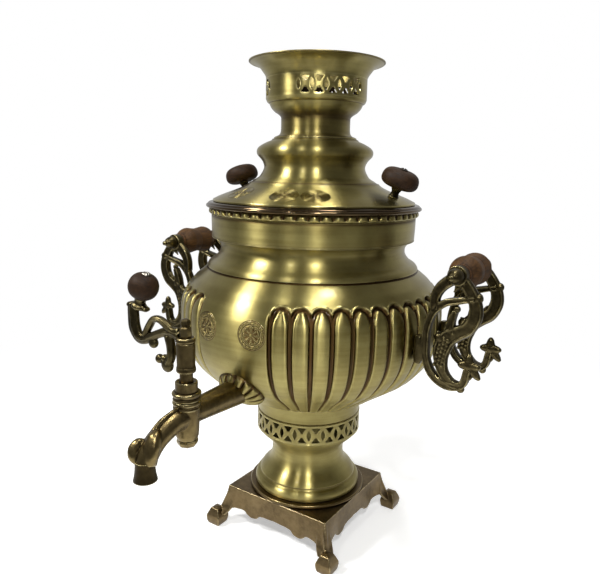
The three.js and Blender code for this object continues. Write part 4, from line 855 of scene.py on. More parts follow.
def belly():
    run, angle = belly_grid()
    radius, height, out, up = belly_at(run)
    relief, stain = gadroon(angle, run, radius)
    shape = sheet(round_axis(radius + relief * out, angle, height + relief * up), stain)
    line = outline(
        [(100.4, 264), (99, 264.6), (98.8, 265.2), (100, 266)],
        [(99.5, 267.4), (98.2, 269.4), (96.2, 270.9), (92.9, 273), (90.7, 275.2), (88.8, 277.6),
         (87.5, 280.4), (87.1, 283.4), (87.5, 286.2), (88.9, 288.6), (91, 290.8), (93.4, 292)],
        [(95.2, 292.5), (95.2, 292.9)],
        fillet=0.3, closed=False,
    )
    inner = np.vstack([
        [(93.6, 292.9)], inset(line, SHEET)[::-1][2:-3], [(97.6, 263.6)],
        inset(BELLY_LINE, BELLY_WALL)[::-8][1:], [(51.2, 136.5), (52.4, 136.3), (53.2, 136.3)],
    ])
    # Painted shade: a dark line in the groove under the shoulder's lip, and a dark band at the top where the
    # collar stands on the shoulder.
    stain = 0.95 * (1 - smoothstep(0.5, 1.5, np.abs(line[:, 1] - 264.9)))
    stain = np.append(np.maximum(stain, 0.7 * smoothstep(291.6, 292.6, line[:, 1])), np.zeros(len(inner)))
    shape.merge(turned(np.vstack([line, inner]), 288, stain, loop=False))
    piece("belly", shape, "brass", "body_shell", sharp=48)


# Reliefs laid on the belly and the lid

ROSETTE_EDGE = 13.4
BELLY_ROSETTE = 12.9
ROSETTE_HEIGHT = 226
LID_ROSETTE = 12.5
# The medallions' places round the urn, in degrees from the tap.
BELLY_MEDALLIONS = {"left": -11.4, "right": 10.5}
LID_MEDALLIONS = (-22, 14.3, 33.5)
# Each ring is a radius and the width of its line.
ROSETTE_RINGS = ((12.4, 0.5), (8.9, 0.45), (1.9, 0.5))
ROSETTE_DOTS = 16
DOT_RING = 10.6
ROSETTE_PETALS = 8
PETAL_ROOT = 2.2
PETAL_TIP = 8.2
SHELL_RADIUS = 21.5
SHELL_DOME = 9
SHELL_HEIGHT = 171
SHELL_RIBS = 16


def patch(surface, azimuth, middle, relief, rings, sides, radius=None):
    """A relief laid round a point: relief gives height and stain from distance and turn."""
    rho, turn = np.meshgrid(rings, np.arange(sides) * TAU / sides, indexing="ij")
    r, z, out, up = surface(middle + rho * np.cos(turn))
    if radius is None:
        radius = 0.5 * (r + surface(np.array(middle))[0])
    angle = azimuth + rho * np.sin(turn) / radius
    height, stain = relief(rho, turn)
    return sheet(round_axis(r + height * out, angle, z + height * up), stain, flip=True)


def rosette(rho, turn, fine):
    """A generic medallion, chased in dark lines: two rings with dots between them, and an eight-petalled
    flower."""
    lines = np.zeros_like(rho)
    for at, wide in ROSETTE_RINGS:
        lines = np.maximum(lines, np.exp(-((rho - at) / wide / fine) ** 2))
    aside = np.sin(turn * ROSETTE_DOTS / 2) * rho / (ROSETTE_DOTS / 2)
    dots = np.exp(-((rho - DOT_RING) / 0.62 / fine) ** 2 - (aside / 0.6 / fine) ** 2)
    side = np.abs(np.sin(turn * ROSETTE_PETALS / 2)) * rho / (ROSETTE_PETALS / 2)
    reach = np.clip((rho - PETAL_ROOT) / 5.8, 0, 1)
    half_petal = np.minimum(1.9 * np.sin(np.pi * reach ** 0.8) ** 0.6, 0.9 * rho / 4)
    petal = np.exp(-((side - half_petal) / 0.4 / fine) ** 2) * (rho > PETAL_ROOT) * (rho < PETAL_TIP)
    vein = np.exp(-(side / 0.3 / fine) ** 2) * (rho > 3) * (rho < 6.2)
    lines = np.maximum.reduce([lines, 0.95 * dots, 0.95 * petal, 0.7 * vein])
    height = 0.42 - 0.32 * lines + 0.1 * (rho < 11.8) * (rho > 9.4)
    return height * (1 - smoothstep(12.9, ROSETTE_EDGE, rho)) - 0.03 * (rho > ROSETTE_EDGE - 0.1), lines


def belly_rosette(rho, turn):
    return rosette(rho * 1.055, turn, 1.4)


def lid_rosette(rho, turn):
    height, stain = rosette(rho * 1.08, turn, 0.65)
    return height * 0.3, stain * 0.85


def scallop(rho, turn):
    """The shell round the tap's inlet: ribs that fan out over a dome."""
    share = rho / SHELL_RADIUS
    valley = 1 - np.abs(np.cos(turn * SHELL_RIBS / 2)) ** 0.8
    dome = SHELL_DOME * np.sqrt(np.clip(1 - share ** 2.6, 0, 1))
    height = dome * (1 - 0.45 * smoothstep(0.3, 0.85, share) * valley)
    height += 0.3 - 0.5 * smoothstep(0.97, 1, share)
    stain = smoothstep(0.3, 0.6, valley) * smoothstep(0.35, 0.6, share)
    return height, np.maximum(stain, 0.8 * smoothstep(0.94, 1, share))


def belly_reliefs():
    rings = np.concatenate([[0.05], np.arange(0.5, BELLY_ROSETTE - 0.1, 0.2), [BELLY_ROSETTE]])
    for name, degrees in BELLY_MEDALLIONS.items():
        shape = patch(belly_at, math.radians(degrees), run_at(ROSETTE_HEIGHT), belly_rosette, rings, 360)
        piece(f"medallion_{name}", shape, "brass", "body_shell", sharp=70)
    marks = ((0.5, 12, 0.8), (12, 20, 0.5), (20, SHELL_RADIUS + 0.01, 0.25))
    rings = np.concatenate([np.arange(*mark) for mark in marks])
    shape = patch(belly_at, 0, run_at(SHELL_HEIGHT), scallop, rings, 256)
    piece("shell", shape, "brass", "tap_shell", sharp=60)


# Mouth: collar, beads, ring

BEADS = 60
BEAD_COLUMNS = BEADS * 14
BEAD_MIDDLE = 316.7
BEAD_HALF = 2.5
BEAD_SWELL = 1.6


def collar():
    line = outline(
        [(93.4, 293.2), (95.1, 293.2)], [(95.4, 300), (95.6, 307), (95.6, 313.6)], [(93.9, 313.6)],
        [(93.4, 293.2)],
    )
    radius, z = line.T
    # Painted shadow: a dark band under the beads at the top, and painted shade in a dark line at the foot
    # where the collar meets the shoulder.
    stain = 0.85 * smoothstep(309.6, 313, z) + 0.5 * (1 - smoothstep(293.4, 294.6, z))
    piece("collar_band", turned(line, 288, (radius > 94.5) * stain), "brass", "collar")


def beads():
    radius, height = spline([
        (93.6, 313.9), (95.9, 313.95), (96.3, 314.4), (96.5, 315.4), (96.5, 316.7), (96.5, 318),
        (96.3, 319.1), (95.9, 319.55), (93.6, 319.6),
    ], 0.35).T[..., None]
    angle = np.arange(BEAD_COLUMNS) * TAU / BEAD_COLUMNS
    level = (height - BEAD_MIDDLE) / BEAD_HALF
    half = 0.46 - 0.13 * smoothstep(-0.9, 0.7, level)
    bulge = np.clip(1 - (np.abs((angle * BEADS / TAU) % 1 - 0.5) / half) ** 2.2, 0, 1) ** 0.5
    bulge = 1 - (1 - bulge) * smoothstep(-0.8, -0.4, level)
    cap = np.clip(1 - np.abs(level) ** 2.4, 0, 1) ** 0.6 * (radius > 95.5)
    stain = smoothstep(0.45, 0.95, 1 - bulge) * (radius > 95)
    shape = sheet(round_axis(radius + BEAD_SWELL * bulge * cap, angle, height), stain)
    shape.merge(turned([(93.6, 319.6), (93.6, 313.9)], BEAD_COLUMNS, loop=False))
    piece("bead_band", shape, "brass", "bead_ring", sharp=60)


def mouth_ring():
    line = outline(
        [(91.8, 319.9), (98.3, 319.9)],
        [(99.7, 320.1), (100.45, 320.8), (100.6, 321.7), (100.2, 322.5), (99.2, 323)],
        [(98.9, 323.6), (98, 324.5), (96.8, 324.9)], [(91.8, 324.9)], fillet=0.25, step=0.5,
    )
    piece("mouth_ring", turned(line, 288), "ring_bronze", "top_ring")


# Lid with its knobs

LID_LINE = spline([
    (94.2, 327), (92.2, 328), (89, 329.6), (85, 331.3), (79.6, 333.4), (73.7, 335.6), (67.6, 338.1),
    (62.4, 340.9), (60.2, 343),
], 0.6)
LID_RUN = lengths_along(LID_LINE)
LID_ROSETTE_RADIUS = 77.5
KNOB_SEAT = (81.5, 332.63)
KNOB_LEAN = math.radians(20.5)


def lid_at(run):
    """Radius, height and outward direction of the lid's slope at a distance along it."""
    parts = (*LID_LINE.T, headings(LID_LINE)[:, 1], -headings(LID_LINE)[:, 0])
    return [np.interp(run, LID_RUN, part) for part in parts]


def hood():
    outer = outline(
        [(91.4, 316.2), (91.4, 325.2)], [(94, 325.2)], [(94.35, 325.9), (94.2, 327)], LID_LINE[1:],
        [(58.4, 343.5), (56.4, 344.9), (53.8, 346.4), (51.4, 348), (49.2, 351.2), (47.6, 354.4), (47, 357.2),
         (47.6, 359.9), (49.2, 362.9), (51.4, 365.4), (53.2, 367.4), (54, 370), (53.7, 372.4), (52.4, 374.4),
         (50.2, 376.2), (47.4, 377.8), (44.4, 379.3), (41.6, 380.4)],
        [(40.2, 381.2), (39.6, 382.2)], [(38.3, 382.4)],
        fillet=0.3, closed=False,
    )
    # The inside line leaves out its first and last points, which would fold at the sharp corners.
    ends = [(33.5, 382.4), (33.5, 380.9)], [(89.9, 326), (89.9, 316.2)]
    inner = np.vstack([ends[0], inset(outer, SHEET)[::-1][4:-14], ends[1]])
    # Painted shade: a dark line in the crease where the slope meets the neck, and a dark band at the top
    # under the crown.
    stain = 0.7 * np.exp(-((outer[:, 1] - 343.3) / 0.8) ** 2) + 0.6 * smoothstep(380.6, 381.6, outer[:, 1])
    shape = turned(np.vstack([outer, inner]), 256, np.append(stain, np.zeros(len(inner))))
    piece("hood", shape, "brass", "lid", "lid", 42)
    middle = float(np.interp(-LID_ROSETTE_RADIUS, -LID_LINE[:, 0], LID_RUN))
    rings = np.concatenate([[0.05], np.arange(0.4, LID_ROSETTE - 0.1, 0.2), [LID_ROSETTE]])
    for number, degrees in enumerate(LID_MEDALLIONS, 1):
        shape = patch(lid_at, math.radians(degrees), middle, lid_rosette, rings, 288, LID_ROSETTE_RADIUS)
        piece(f"lid_medallion_{number}", shape, "brass", "lid", "lid", 70)


def screw_head(radius, rise, slot_turn, base):
    """A domed head with a slot across it, with its edge at height base."""
    sides = 64
    rings = np.linspace(0.02, 1, 15) * radius
    rho, angle = np.meshgrid(rings, np.arange(sides) * TAU / sides, indexing="ij")
    slot = 1 - smoothstep(0.28, 0.5, np.abs(rho * np.cos(angle - slot_turn)))
    height = rise * np.sqrt(np.clip(1.04 - (rho / radius) ** 2, 0, 1)) - 0.9 * slot
    head = sheet(np.stack([rho * np.cos(angle), rho * np.sin(angle), base + height], -1), slot, flip=True)
    return head.merge(turned([(radius, base - 0.8), (radius, base)], sides, loop=False))


def lid_knobs():
    post = lathe(
        [(0, 0.4), (4.5, 0.4)], [(4.6, 1.4), (3.9, 2.4), (3.5, 4), (3.6, 6), (4.4, 7.6), (4.6, 8.9)],
        [(0, 9.1)], fillet=0.2, step=0.5, stain=0.75,
    )
    knob = lathe(
        [(0, 9.4), (4.6, 9.4)],
        [(10, 9.7), (13.8, 11), (15.9, 13.4), (16.4, 16.4), (15.9, 19.6), (14.4, 22.4), (11.8, 24.2),
         (8.4, 25), (4.4, 25.1)],
        [(0, 25.1)], sides=96,
    )
    out, height = KNOB_SEAT
    for name, side in (("right", 1), ("left", -1)):
        seat = Vector((side * out, 0, height))
        matrix = place_along(seat, seat + Vector((side * math.sin(KNOB_LEAN), 0, math.cos(KNOB_LEAN))))
        piece(f"knob_post_{name}", post.placed(matrix), "handle_bronze", f"lid_stem_{name}", "lid")
        piece(f"knob_{name}", knob.placed(matrix), "knob_wood", f"lid_knob_{name}", "lid")
        screw = screw_head(3.4, 1.7, 0.5 * side, 25.3).placed(matrix)
        piece(f"knob_screw_{name}", screw, "iron", f"lid_screw_{name}", "lid")


# Handles

ROD_X = 153.9
ROD_Z = 276.7
BRACKET_Y = 28.9
BOSS_HALF = 3.9
BRACKET_ROOT = 122
BRACKET_REACH = 53
BRACKET_DROP = 93
VINE = 7
SEAT_GAP = 0.3

# Each point of a band is its share of the reach and of the drop, and its width.
SCROLL = [
    (0.602, 0, 1.5), (0.765, -0.094, 1.4), (0.888, -0.223, 1.5), (0.9, -0.33, 1.65), (0.81, -0.438, 1.7),
    (0.66, -0.497, 1.8), (0.52, -0.55, 2.2), (0.44, -0.64, 2.2), (0.42, -0.75, 1.75), (0.48, -0.868, 1.2),
    (0.604, -0.943, 1), (0.736, -0.965, 0.9),
]
BODY_ARC = [
    (0.877, -0.18, 0.6), (0.66, -0.212, 0.8), (0.434, -0.25, 0.9), (0.264, -0.341, 0.9), (0.179, -0.481, 0.9),
    (0.166, -0.631, 0.9), (0.189, -0.771, 0.9), (0.302, -0.9, 0.95), (0.49, -0.97, 0.95),
    (0.66, -0.975, 0.95), (0.792, -0.932, 0.95), (0.85, -0.8, 0.85),
]
INNER_LEG = [(0.55, -0.02, 1.45), (0.358, -0.115, 1.35), (0.283, -0.201, 1.2), (0.27, -0.31, 1)]
LEAF = [(0.528, -0.5, 1.4), (0.547, -0.4, 1), (0.604, -0.309, 0.5)]
# Buds have a size, leaflets a turn and a length, and the finial's rays a turn and a length.
BUDS = [
    (0.925, -0.175, 3.9), (0.25, -0.33, 3.6), (0.62, -0.29, 3), (0.76, -0.985, 3.4), (0.38, -0.56, 4.6),
    (0.55, -0.45, 3.6), (0.2, -0.8, 3.3), (0.52, -0.985, 3.4), (0.86, -0.86, 3.4),
]
LEAFLETS = [
    (0.6, -0.47, 1.9, 9), (0.7, -0.44, 1.2, 8), (0.47, -0.56, 2.6, 9), (0.43, -0.66, 3, 8),
    (0.86, -0.37, 0.3, 7), (0.66, -0.09, -2.4, 8),
]
FINIAL = [(0.25, 0.2), (0, 0.19), (-0.13, 0.27), (0.5, 0.18)]
FINIAL_MIDDLE = (0.86, -0.765)
# The leaf's grain: its rows, its distance from the bracket's middle, and the half sizes of each bead.
GRAIN_ROWS = 7
GRAIN_FACE = 2.6
GRAIN_SIZE = (1.5, 1.1, 1.9)
BRACKET_PAD = [(124.6, 0, 223.5), (125.4, 0, 217), (125.8, 0, 211.6), (125.4, 0, 206), (124.6, 0, 199.5)]


def on_bracket(*points):
    """Bracket places in millimetres from shares of its reach and drop."""
    places = [(BRACKET_ROOT + out * BRACKET_REACH, 0, ROD_Z + up * BRACKET_DROP) for out, up, *_ in points]
    return np.array(places if len(places) > 1 else places[0])


def band(points, places, unit, *section):
    """A cast band through places, its line, and its width at each of the line's points."""
    line = spline(places, 0.9)
    run = lengths_along(line)
    knots = [run[np.argmin(np.linalg.norm(line - place, axis=1))] for place in places]
    widths = np.interp(run, knots, [width for *_, width in points]) * unit
    return tube(line, widths, *section), line, widths


def vine(points):
    """A cast band with two raised veins along each face."""
    made, line, widths = band(points, on_bracket(*points), VINE, VINE * 0.8, 20, 3.2)
    along = headings(line)
    for side in (1, -1):
        for rim in (0.36, -0.36):
            across = np.stack([along[:, 2], 0 * widths, -along[:, 0]], 1) * (widths * rim)[:, None]
            made.merge(tube(line + across + [0, side * VINE * 0.38, 0], 1.5, 1.7, 10))
    return made


def leaflet(out, up, turn, length):
    """A small pointed leaf off a band."""
    start = on_bracket((out, up))
    end = start + [length * math.cos(turn), 0, length * math.sin(turn)]
    line = spline([start, (start + end) / 2 + [0, 0, 0.8], end], 0.8)
    taper = np.linspace(1, 0.25, len(line))
    return tube(line, 5 * taper, 4.6 * taper, 12)


def leaf_grain():
    """The chased grain on both faces of the leaf, in rows of three."""
    grain = Shape()
    for row in range(GRAIN_ROWS):
        for across in (-1, 0, 1):
            up = -0.56 - 0.038 * row - 0.012 * abs(across)
            spot = on_bracket((0.47 - 0.012 * row + 0.055 * across, up))
            for side in (1, -1):
                grain.merge(ball(spot + [0, side * GRAIN_FACE, 0], GRAIN_SIZE, 12, 8))
    return grain


def finial():
    """The star at the scroll's end."""
    middle, star = on_bracket(FINIAL_MIDDLE), Shape()
    for turns, length in FINIAL:
        heading = np.array([math.cos(turns * TAU), 0, math.sin(turns * TAU)])
        line = middle + heading * np.linspace(0, length * BRACKET_REACH - 0.6, 10)[:, None]
        taper = np.interp(np.linspace(0, 1, 10), [0, 0.4, 0.8, 1], [7.4, 8, 5.4, 2.4])
        star.merge(tube(line, taper, np.minimum(taper, 5.6), 14))
    return star.merge(ball(middle, (5, 3.4, 5)))


def bracket_shape():
    shape = Shape().merge(vine(SCROLL), vine(BODY_ARC), vine(INNER_LEG), vine(LEAF))
    for out, up, size in BUDS:
        shape.merge(ball(on_bracket((out, up)), (size, size * 0.9, size)))
    shape.merge(*(leaflet(*each) for each in LEAFLETS), leaf_grain(), finial())
    boss = lathe([(0, -BOSS_HALF), (8, -BOSS_HALF)], [(8, BOSS_HALF)], [(0, BOSS_HALF)], fillet=0.9)
    boss = boss.placed(Matrix.Translation((ROD_X, 0, ROD_Z)) @ Matrix.Rotation(math.pi / 2, 4, "X"))
    line = spline(BRACKET_PAD)
    widths = np.interp(np.linspace(0, 1, len(line)), [0, 0.2, 0.5, 0.8, 1], [5.5, 8.5, 10.5, 8.5, 5.5])
    return shape.merge(boss, tube(line, widths, 7.4, 16, 3))


def wooden_grip():
    """Two swells with a waist between them, and a bead at each end."""
    half = BRACKET_Y - BOSS_HALF - SEAT_GAP
    return lathe(
        [(0, -half), (8.4, -half)], [(9, 1.6 - half), (8.7, 2.9 - half)],
        [(10.4, 5 - half), (12.6, 8.6 - half), (13.6, 12.6 - half), (13, 17.4 - half), (12.3, -1.6)],
        [(12, 0), (12.3, 1.6)],
        [(13, half - 17.4), (13.6, half - 12.6), (12.6, half - 8.6), (10.4, half - 5), (8.7, half - 2.9)],
        [(9, half - 1.6), (8.4, half)], [(0, half)],
        sides=96, fillet=0.35,
    )


def handles():
    bracket, grip = bracket_shape(), wooden_grip()
    acorn = lathe(
        [(0, 0), (5.9, 0)], [(6.4, 1.2), (6.3, 3.2), (5.4, 6.2), (3.9, 8.7), (2.5, 10)],
        [(1.9, 10.7), (2.1, 11.6), (2.3, 12.4), (1.7, 13.4), (0, 13.9)], fillet=0.25, step=0.5,
    )
    base = BRACKET_Y + BOSS_HALF + SEAT_GAP
    for side_name, side in (("right", 1), ("left", -1)):
        for end_name, end in (("front", -1), ("rear", 1)):
            corner = f"{side_name}_{end_name}"
            matrix = Matrix.Translation((0, end * BRACKET_Y, 0)) @ Matrix.Diagonal((side, 1, 1, 1))
            scroll = bracket.placed(matrix)
            casting(f"scroll_{corner}", scroll, 0.5, "handle_bronze", f"bracket_{corner}", smooth=2)
            matrix = place_along((side * ROD_X, end * base, ROD_Z), (side * ROD_X, end * (base + 10), ROD_Z))
            piece(f"acorn_{corner}", acorn.placed(matrix), "handle_bronze", f"acorn_nut_{corner}")
        matrix = place_along((side * ROD_X, 0, ROD_Z), (side * ROD_X, 10, ROD_Z))
        piece(f"wood_grip_{side_name}", grip.placed(matrix), "grip_wood", f"grip_{side_name}")


# Tap

STEM_Y = -171.5
TAP_Z = 171.5
NOZZLE_Y = -213.8
STEM = Matrix.Translation((0, STEM_Y, 0))
INLET = [(0, 96), (11.6, 98), (11.5, 112), (11, 122), (10.2, 138), (9.3, 158), (9, 171.5), (0, 171.5)]
BARREL = [
    (0, 150.2), (5.6, 150.3), (7.8, 152), (8.8, 155), (9.2, 160), (9.6, 168), (9.9, 176), (10, 182.4),
    (0, 182.4),
]
SPOUT = [
    (0, -168, 171.5), (0, -175.6, 170.4), (0, -186, 169.2), (0, -196, 165.6), (0, -204, 161),
    (0, -210.4, 154), (0, -212.6, 148),
]
CREST = [(0, -205, 170), (0, -198, 174.6), (0, -188, 177.6), (0, -180, 179.4)]
# The heart on the spout's bend: a petal over the crest, a smaller one beside it, and the filling between.
# Each has its line, its widths and its depths.
PETALS = [
    ([(1.5, -202.5, 170.2), (3.2, -207, 167.4), (4.2, -210.8, 160.6), (4, -212.8, 154), (3.4, -213, 149.8)],
     [5, 10.5, 13, 12.5, 10.5], [5, 9, 10, 9.5, 9]),
    ([(-4.6, -208.6, 160.4), (-7.4, -212.4, 161.4), (-8.8, -215.4, 158), (-8, -216.2, 153.4),
      (-5.6, -214.6, 149.8)],
     [5, 7, 8, 8, 6.5], [6, 8.4, 9.2, 9, 8]),
    ([(-2, -207, 160.6), (-2.4, -211.6, 157.8), (-2.2, -213.6, 153.6), (-1.4, -213.6, 149.8)],
     [8, 10, 10.5, 9.5], [6, 7.4, 8.4, 8]),
]


def tap_casting():
    shape = turned(INLET, 48, loop=False).placed(place_along((0, 0, TAP_Z), (0, -1, TAP_Z)))
    shape.merge(turned(BARREL, 48, loop=False).placed(STEM))
    spout = spline(SPOUT, 1)
    widths = np.interp(np.linspace(0, 1, len(spout)), [0, 0.25, 0.6, 1], [18.4, 17, 16.2, 15.4])
    shape.merge(tube(spout, widths, widths * 0.98, 24, 2, flat_normal=(1, 0, 0)))
    for petal, broad, deep in PETALS:
        leaf = spline(petal)
        share, marks = np.linspace(0, 1, len(leaf)), np.linspace(0, 1, len(broad))
        sizes = np.interp(share, marks, deep), np.interp(share, marks, broad)
        shape.merge(tube(leaf, *sizes, 20, 2.3, flat_normal=(1, 0, 0)))
    crest = spline(CREST, 0.9)
    taper = np.linspace(4.6, 3, len(crest))
    shape.merge(tube(crest, taper, taper, 14))
    casting("tap_casting", shape, 0.5, "tap_bronze", "tap_body")


def tap():
    tap_casting()
    nozzle = turned(outline(
        [(7.6, 136.4), (8.8, 136.4)], [(8.3, 138.6), (7.7, 142), (7.3, 146), (7, 151)], [(5.3, 151)],
        [(5.7, 144), (6.6, 139), (7.6, 136.4)], fillet=0.3, step=0.6, closed=False,
    ), 64, 0.7)
    piece("nozzle", nozzle.placed(Matrix.Translation((0, NOZZLE_Y, 0))), "tap_bronze", "tap_body")
    rims = turned(outline(
        [(9.4, 176.4), (10.2, 176.6)], [(10.6, 177.6), (10.2, 178.6)], [(10.1, 180.2)],
        [(10.7, 180.6), (10.8, 182.2), (10.4, 182.9)], [(7.2, 183)], [(7.2, 176.4)], fillet=0.2, step=0.4,
    ), 72)
    piece("barrel_rim", rims.placed(STEM), "tap_bronze", "tap_body")
    plug = lathe(
        [(0, 183.3), (10, 183.3)], [(10.6, 184), (10.4, 185.4), (10, 186.4)],
        [(10.9, 187.6), (11.1, 189.2), (10.4, 190)], [(8.5, 190.3)], [(8.6, 197.2)], [(8.2, 198), (7.2, 198)],
        [(5.1, 197.4)], [(5, 205)], [(0, 205)], sides=96, fillet=0.25, step=0.5,
    )
    taper = turned([(0, 146), (3, 146), (3, 152), (5.2, 152.2), (6.6, 183), (0, 183.1)], 48, loop=False)
    spindle = turned([(0, 204.9), (4.1, 204.9), (4.1, 232), (3, 232), (3, 240), (0, 240)], 32, loop=False)
    piece("plug_stack", plug.merge(taper, spindle).placed(STEM), "tap_bronze", "tap_plug", "tap_key")
    nut = lathe(
        [(0, 144.9), (2.6, 144.9)], [(5, 145.6), (7.4, 147.4), (8.3, 149.6)], [(8.2, 151.6)], [(0, 151.7)],
        sides=8, step=0.6,
    )
    piece("barrel_nut", nut.placed(STEM), "tap_bronze", "plug_nut", "tap_key", 25)
    cap = turned([
        (0, 232.4), (4.6, 232.4), (4.7, 232.9), (4.7, 239), (4.3, 239.6), (3.6, 240.2), (3.5, 241.4),
        (4.1, 242), (4.1, 244.2), (3.4, 245.4), (1.9, 246.1), (0, 246.2),
    ], 6, loop=False)
    piece("cap_nut", cap.placed(STEM), "tap_bronze", "lever_nut", "tap_key", 30)


LEVER_FOOT = 205.3
LEVER_REACH = 62
LEVER_WIDTH = 7.2
LEVER_THICK = 6.2
# The veins' thickness, their distance from the middle, and the buds' half thickness.
LEVER_VEIN = 1.8
LEVER_FACE = 2.8
LEVER_BUD = 3.4
LEVER_KNOB_LEAN = math.radians(20)
KNOB_PLACE = (-0.8 * LEVER_REACH, STEM_Y, LEVER_FOOT + 0.7 * LEVER_REACH)
# Each point is its shares out and up, and its width. The last band has no veins.
LEVER_BANDS = [
    [(0.91, 0.72, 1.45), (0.908, 0.56, 1.55), (0.89, 0.4, 1.65), (0.81, 0.29, 1.35), (0.71, 0.28, 1.15),
     (0.58, 0.335, 1), (0.45, 0.395, 0.95), (0.32, 0.44, 1.05), (0.1, 0.455, 1.3)],
    [(0.7, 0.34, 0.8), (0.62, 0.47, 0.8), (0.54, 0.565, 0.75), (0.44, 0.58, 0.75), (0.34, 0.54, 0.85),
     (0.25, 0.48, 0.95), (0.1, 0.42, 1.15)],
    [(0.28, 0.4, 1.2), (0.25, 0.27, 1.05), (0.25, 0.14, 1), (0.3, 0.05, 1.1)],
    [(0.985, 0.7, 0.5), (0.9, 0.7, 0.9), (0.76, 0.69, 0.95), (0.65, 0.665, 0.5)],
]
LEVER_BUDS = [(0.318, 0.02, 6), (0.45, 0.075, 3.8), (0.555, 0.26, 4.4), (0.655, 0.3, 3), (0.36, 0.1, 3)]
KNOB_CUP = [(0, -1.5), (6, -1.2), (6.1, 0.8), (4.6, 2.6), (4.3, 4.6), (5, 6.4), (5.2, 7), (0, 7)]


def on_lever(points):
    places = [(-out * LEVER_REACH, STEM_Y, LEVER_FOOT + up * LEVER_REACH) for out, up, *_ in points]
    return np.array(places)


def lever():
    shape = Shape()
    for points in LEVER_BANDS:
        made, line, widths = band(points, on_lever(points), LEVER_WIDTH, LEVER_THICK, 16, 2.4)
        shape.merge(made)
        for side in (1, -1) if points is not LEVER_BANDS[-1] else ():
            vein = np.minimum(widths * 0.25, LEVER_VEIN)
            shape.merge(tube(line + [0, side * LEVER_FACE, 0], vein, LEVER_VEIN, 10))
    for out, up, size in LEVER_BUDS:
        shape.merge(ball(on_lever([(out, up)])[0], (size, LEVER_BUD, size)))
    lean = Vector((math.sin(LEVER_KNOB_LEAN), 0, math.cos(LEVER_KNOB_LEAN)))
    top = place_along(KNOB_PLACE, Vector(KNOB_PLACE) + lean)
    shape.merge(turned(KNOB_CUP, 40, loop=False).placed(top))
    casting("lever_casting", shape, 0.45, "handle_bronze", "tap_lever", "tap_key", 2)
    sleeve = turned(outline(
        [(4.4, 205.3), (6.9, 205.3)], [(7.4, 206.2), (7.3, 209)], [(7, 209.6), (7.1, 220), (7.2, 227.6)],
        [(6.8, 228.2), (7.4, 228.9), (7.3, 231), (6.6, 232)], [(4.4, 232)],
        fillet=0.25, step=0.5, closed=False,
    ), 72, 0.3)
    piece("lever_sleeve", sleeve.placed(STEM), "tap_bronze", "tap_lever", "tap_key")
    knob = lathe(
        [(0, 7.3), (4, 7.3)],
        [(7.4, 8.4), (10.2, 11), (11.6, 14.6), (11.8, 18), (10.8, 21.8), (8.6, 24.9), (5.4, 26.8),
         (2.8, 27.3)],
        [(0, 27.3)], sides=80, step=0.7,
    )
    piece("ball_knob", knob.placed(top), "knob_wood", "lever_knob", "tap_key")
    screw = screw_head(3.4, 1.6, 1.1, 27.6).placed(top)
    piece("ball_knob_screw", screw, "steel", "lever_screw", "tap_key")


# Inner pieces that keep their solids, and the fire tube


def inner_pieces():
    corners = [f"{side}_{end}" for side in ("right", "left") for end in ("front", "rear")]
    kept = {f"foot_screw_{number}": "steel" for number in (1, 2, 3, 4)}
    kept |= {f"handle_bolt_{corner}": "steel" for corner in corners}
    kept |= {"rod_right": "steel", "rod_left": "steel"}
    kept |= {"tank_floor": "soot", "fire_grate": "iron", "tap_inner_nut": "tap_bronze"}
    for name, kind in kept.items():
        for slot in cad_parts[name].material_slots:
            slot.material = LOOKS[kind]
    line = outline(
        [(32.4, 128.3), (38, 128.3)], [(38, 143)], [(41.5, 143)], [(41.5, 144.8)], [(38, 144.8)],
        [(28, 396.2)], [(26.4, 396.2)], [(36.4, 144.8)], [(36.4, 129.9)], [(32.4, 129.9)], fillet=0.2, step=6,
    )
    piece("flue", turned(line, 96), "soot", "fire_tube")


# Camera, floor and light

VIEW_TURN = math.radians(32.5)
CAMERA_PLACE = (0.30196, -0.47399 + AXIS_Y, 0.3562)
CAMERA_TURN = VIEW_TURN + 0.02
CAMERA_DIP = 0.199
CAMERA_ROLL = 0.0209
FOCAL_PIXELS = 589.18
PHOTO_PIXELS = 600
SENSOR = 36
FLOOR_HALF = 3
FLOOR_LIFT = 0.45
FLOOR_MIRRORED = 0.65
ROOM_DIM = 0.16
ROOM_PALE = 0.55
ROOM_RISE = 0.12
LAMP_TARGET = Vector((0, AXIS_Y, 0.24))
# Each lamp has a heading and a height in degrees, a distance and a size in metres, and a power in watts.
LAMPS = {
    "lamp_left": (-42, 43, 1.6, 0.3, 21),
    "lamp_middle": (3, 45, 1.6, 0.08, 3.5),
    "lamp_right": (37, 42, 1.6, 0.14, 11),
    "lamp_top": (120, 82, 1.5, 0.24, 10),
}


def camera():
    data = bpy.data.cameras.new("camera")
    data.sensor_width = SENSOR
    data.lens = FOCAL_PIXELS / PHOTO_PIXELS * SENSOR
    data.clip_start = 0.01
    view = bpy.data.objects.new("camera", data)
    view.matrix_world = (
        Matrix.Translation(CAMERA_PLACE)
        @ Matrix.Rotation(CAMERA_TURN, 4, "Z")
        @ Matrix.Rotation(math.pi / 2 - CAMERA_DIP, 4, "X")
        @ Matrix.Rotation(CAMERA_ROLL, 4, "Z")
    )
    bpy.context.scene.collection.objects.link(view)
    bpy.context.scene.camera = view


